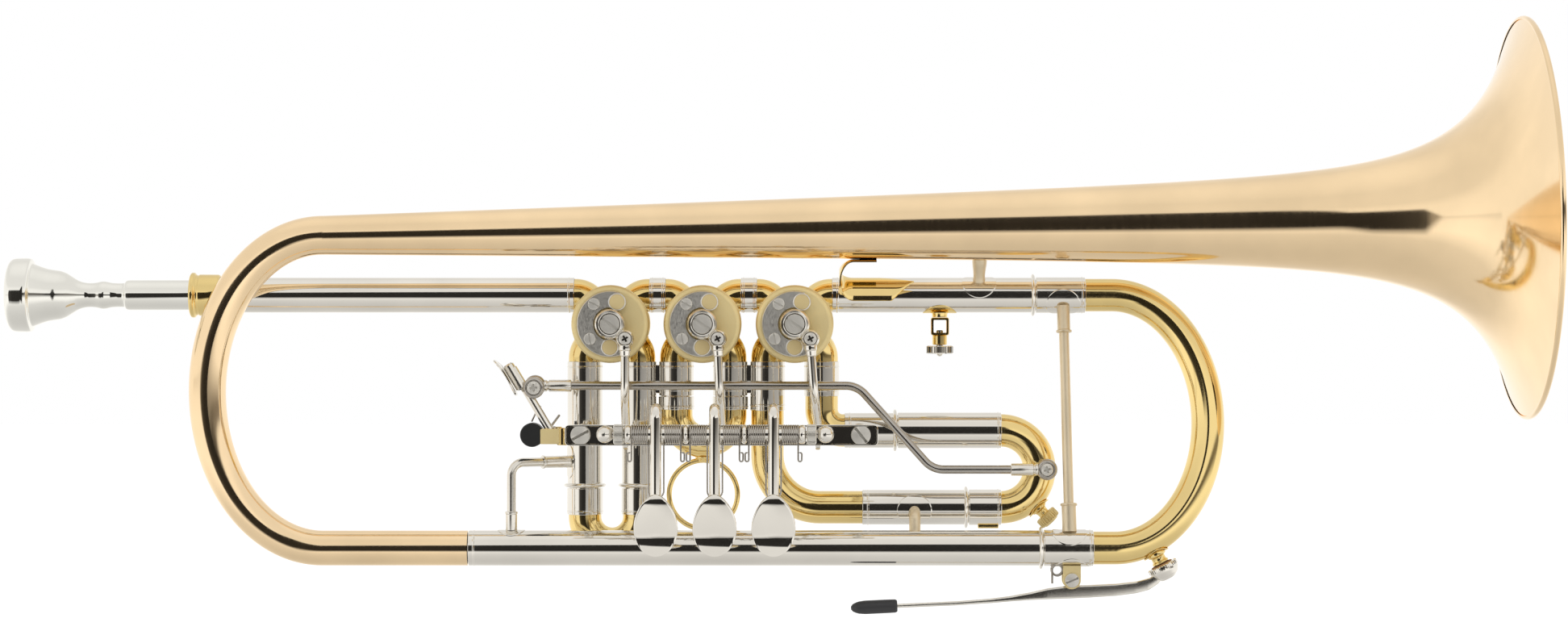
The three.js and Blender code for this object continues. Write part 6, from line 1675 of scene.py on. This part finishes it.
class TRUMPET_OT_stage(TrumpetOperator, bpy.types.Operator):
    """Set the pale floor, the studio light and the camera"""

    bl_idname = "trumpet.stage"
    bl_label = "Stage"

    def execute(self, context):
        self.floor()
        self.surround()
        self.lamp()
        self.camera(context)
        return {"FINISHED"}

    def floor(self):
        """Pale paper, which the camera sees as white apart from the object's shadow."""
        mesh = bpy.data.meshes.new("floor")
        wide, level = 6.0, -0.2
        corners = [(-wide, -wide, level), (wide, -wide, level), (wide, wide, level), (-wide, wide, level)]
        mesh.from_pydata(corners, [], [(0, 1, 2, 3)])
        tree, shader, place = new_material("studio_paper", Roughness=0.9)
        rays = add(tree, "ShaderNodeLightPath")
        seen = add(tree, "ShaderNodeMix", {0: rays.outputs["Is Camera Ray"]}, data_type="RGBA")
        seen.inputs[6].default_value = linear("#FBFBFA")
        seen.inputs[7].default_value = (1.25, 1.25, 1.25, 1)
        tree.links.new(seen.outputs[2], shader.inputs["Base Color"])
        grainy(tree, shader, place, grain=2, depth=0.05, detail=2.0, strength=0.1)
        mesh.materials.append(bpy.data.materials["studio_paper"])
        floor = bpy.data.objects.new("floor", mesh)
        bpy.context.scene.collection.objects.link(floor)
        # the metal reflects the tent below it, as it hangs far above the paper
        floor.visible_glossy = False

    def surround(self):
        """A white tent round the object, with the dark gap in front that the camera looks through."""
        world = bpy.data.worlds.new("white_tent")
        bpy.context.scene.world = world
        world.use_nodes = True
        tree = world.node_tree
        tree.nodes.clear()
        output = add(tree, "ShaderNodeOutputWorld")
        direction = add(tree, "ShaderNodeTexCoord").outputs["Generated"]
        parts = add(tree, "ShaderNodeSeparateXYZ", {"Vector": direction})
        # the tent's brightness by height: most beside the gap, less towards the ground
        tent_glow = (
            (-1, 0.66), (-0.8, 0.72), (-0.55, 0.8), (-0.44, 0.94), (-0.28, 1.12), (0.3, 1), (0.45, 0.86),
            (0.8, 0.84), (1, 0.95),
        )
        # how far the gap reaches up, and how far down, from the left to the right
        right_part = ((0.03, 0.44), (0.09, 0.44), (0.12, 0.12), (0.97, 0.12), (1, 0))
        gap_up = ((-1, 0), (-0.66, 0), (-0.5, 0.22), (-0.14, 0.25), (-0.12, 0.3), (-0.05, 0.38), *right_part)
        gap_down = ((-1, 0), (-0.66, 0), (-0.5, 0.4), (-0.2, 0.46), (-0.12, 0.36), (-0.05, 0.4), *right_part)
        # the gap's own brightness: darkest straight ahead
        gap_glow = (
            (-1, 0.4), (-0.57, 0.36), (-0.52, 0.06), (-0.25, 0.028), (0.1, 0.022), (0.3, 0.1), (1, 0.25),
        )
        ramps = []
        for axis, tint, stops in (
            ("Z", (1, 0.985, 0.955), tent_glow),
            ("X", (1, 1, 1), gap_up),
            ("X", (1, 1, 1), gap_down),
            ("X", (1, 0.93, 0.84), gap_glow),
        ):
            part = {"Value": parts.outputs[axis]}
            share = add(tree, "ShaderNodeMapRange", part, From_Min=-1.0, From_Max=1.0)
            ramp = add(tree, "ShaderNodeValToRGB", {"Fac": share.outputs["Result"]})
            elements = ramp.color_ramp.elements
            while len(elements) < len(stops):
                elements.new(0.5)
            for element, (position, level) in zip(elements, stops):
                element.position = (position + 1) / 2
                element.color = [level * c for c in tint] + [1]
            ramps.append(ramp.outputs["Color"])
        tent, top, bottom, gap = ramps
        rise = add(tree, "ShaderNodeMath", {0: parts.outputs["Z"]}, operation="SUBTRACT")
        rise.inputs[1].default_value = 0.01
        above = add(tree, "ShaderNodeMath", {0: rise.outputs[0], 1: top}, operation="SUBTRACT")
        over = add(tree, "ShaderNodeMapRange", {"Value": above.outputs[0]}, From_Min=-0.03, From_Max=0.03)
        below = add(tree, "ShaderNodeMath", {0: rise.outputs[0], 1: bottom}, operation="ADD")
        under = add(tree, "ShaderNodeMapRange", {"Value": below.outputs[0]}, From_Min=0.14, From_Max=-0.05)
        beside = add(tree, "ShaderNodeMath", {0: over.outputs[0], 1: under.outputs[0]}, operation="MAXIMUM")
        # there is no gap behind the object
        back = add(tree, "ShaderNodeMath", {0: parts.outputs["Y"]}, operation="GREATER_THAN")
        back.inputs[1].default_value = 0.0
        kept = add(tree, "ShaderNodeMath", {0: beside.outputs[0], 1: back.outputs[0]}, operation="MAXIMUM")
        seen = add(tree, "ShaderNodeMix", {0: kept.outputs[0], 6: gap, 7: tent}, data_type="RGBA")
        # camera rays see plain white, and diffuse light is even
        rays = add(tree, "ShaderNodeLightPath")
        shown = add(tree, "ShaderNodeBackground", Color=(1, 1, 1, 1), Strength=0.85)
        glossy = add(tree, "ShaderNodeBackground", {"Color": seen.outputs[2]}, Strength=1.0)
        white = add(tree, "ShaderNodeBackground", Color=(1, 1, 1, 1), Strength=1.0)
        for ray, sight in (("Is Glossy Ray", glossy), ("Is Camera Ray", white)):
            choice = {0: rays.outputs[ray], 1: shown.outputs[0], 2: sight.outputs[0]}
            shown = add(tree, "ShaderNodeMixShader", choice)
        tree.links.new(shown.outputs[0], output.inputs["Surface"])

    def lamp(self):
        """A large soft box overhead, a little to the front and left, which lays the shadow."""
        lamp = bpy.data.lights.new("soft_box", "AREA")
        lamp.shape = "RECTANGLE"
        lamp.size = 1.4
        lamp.size_y = 1.0
        lamp.energy = 7.0
        soft = bpy.data.objects.new("soft_box", lamp)
        soft.location = (-0.3, -0.5, 1.5)
        soft.rotation_euler = (math.radians(18), 0, 0)
        soft.visible_glossy = False
        bpy.context.scene.collection.objects.link(soft)

    def camera(self, context):
        """The photo's camera: a long lens, level and square to the front."""
        data = bpy.data.cameras.new("photo_camera")
        data.sensor_width = 36.0
        data.lens = 89.64
        data.clip_start = 0.05
        data.clip_end = 50.0
        camera = bpy.data.objects.new("photo_camera", data)
        camera.location = (0.02857, -1.383, 0.00229)
        camera.rotation_euler = (math.pi / 2, 0, 0)
        context.scene.collection.objects.link(camera)
        context.scene.camera = camera
        context.scene.view_settings.view_transform = "Standard"


OPERATORS = (
    TRUMPET_OT_finishes,
    TRUMPET_OT_stage,
    TRUMPET_OT_bell,
    TRUMPET_OT_tubes,
    TRUMPET_OT_mouthpiece,
    TRUMPET_OT_valves,
    TRUMPET_OT_links,
    TRUMPET_OT_keys,
    TRUMPET_OT_slides,
    TRUMPET_OT_trigger,
    TRUMPET_OT_tuning_slide,
    TRUMPET_OT_fittings,
)
GROUPS = {
    "trumpet_tubes": TrumpetTubes,
    "trumpet_bell": TrumpetBell,
    "trumpet_valves": TrumpetValves,
    "trumpet_keys": TrumpetKeys,
    "trumpet_colours": TrumpetColours,
}


class TRUMPET_PT_panel(bpy.types.Panel):
    """Lists the groups of the trumpet and their sizes"""

    bl_idname = "TRUMPET_PT_panel"
    bl_label = "Rotary valve trumpet"
    bl_space_type = "VIEW_3D"
    bl_region_type = "UI"
    bl_category = "Trumpet"

    def draw(self, context):
        for operator in OPERATORS:
            self.layout.operator(operator.bl_idname)
        for attribute in GROUPS:
            group = getattr(context.scene, attribute)
            box = self.layout.box()
            for prop in group.bl_rna.properties:
                if prop.identifier not in ("rna_type", "name"):
                    box.prop(group, prop.identifier)


def register():
    for group in GROUPS.values():
        bpy.utils.register_class(group)
    for attribute, group in GROUPS.items():
        setattr(bpy.types.Scene, attribute, bpy.props.PointerProperty(type=group))
    for cls in (*OPERATORS, TRUMPET_PT_panel):
        bpy.utils.register_class(cls)


def unregister():
    for cls in (TRUMPET_PT_panel, *reversed(OPERATORS)):
        bpy.utils.unregister_class(cls)
    for attribute in GROUPS:
        delattr(bpy.types.Scene, attribute)
    for group in reversed(list(GROUPS.values())):
        bpy.utils.unregister_class(group)


def main():
    register()
    for operator in OPERATORS:
        group, name = operator.bl_idname.split(".")
        getattr(getattr(bpy.ops, group), name)()


if __name__ == "__main__":
    main()
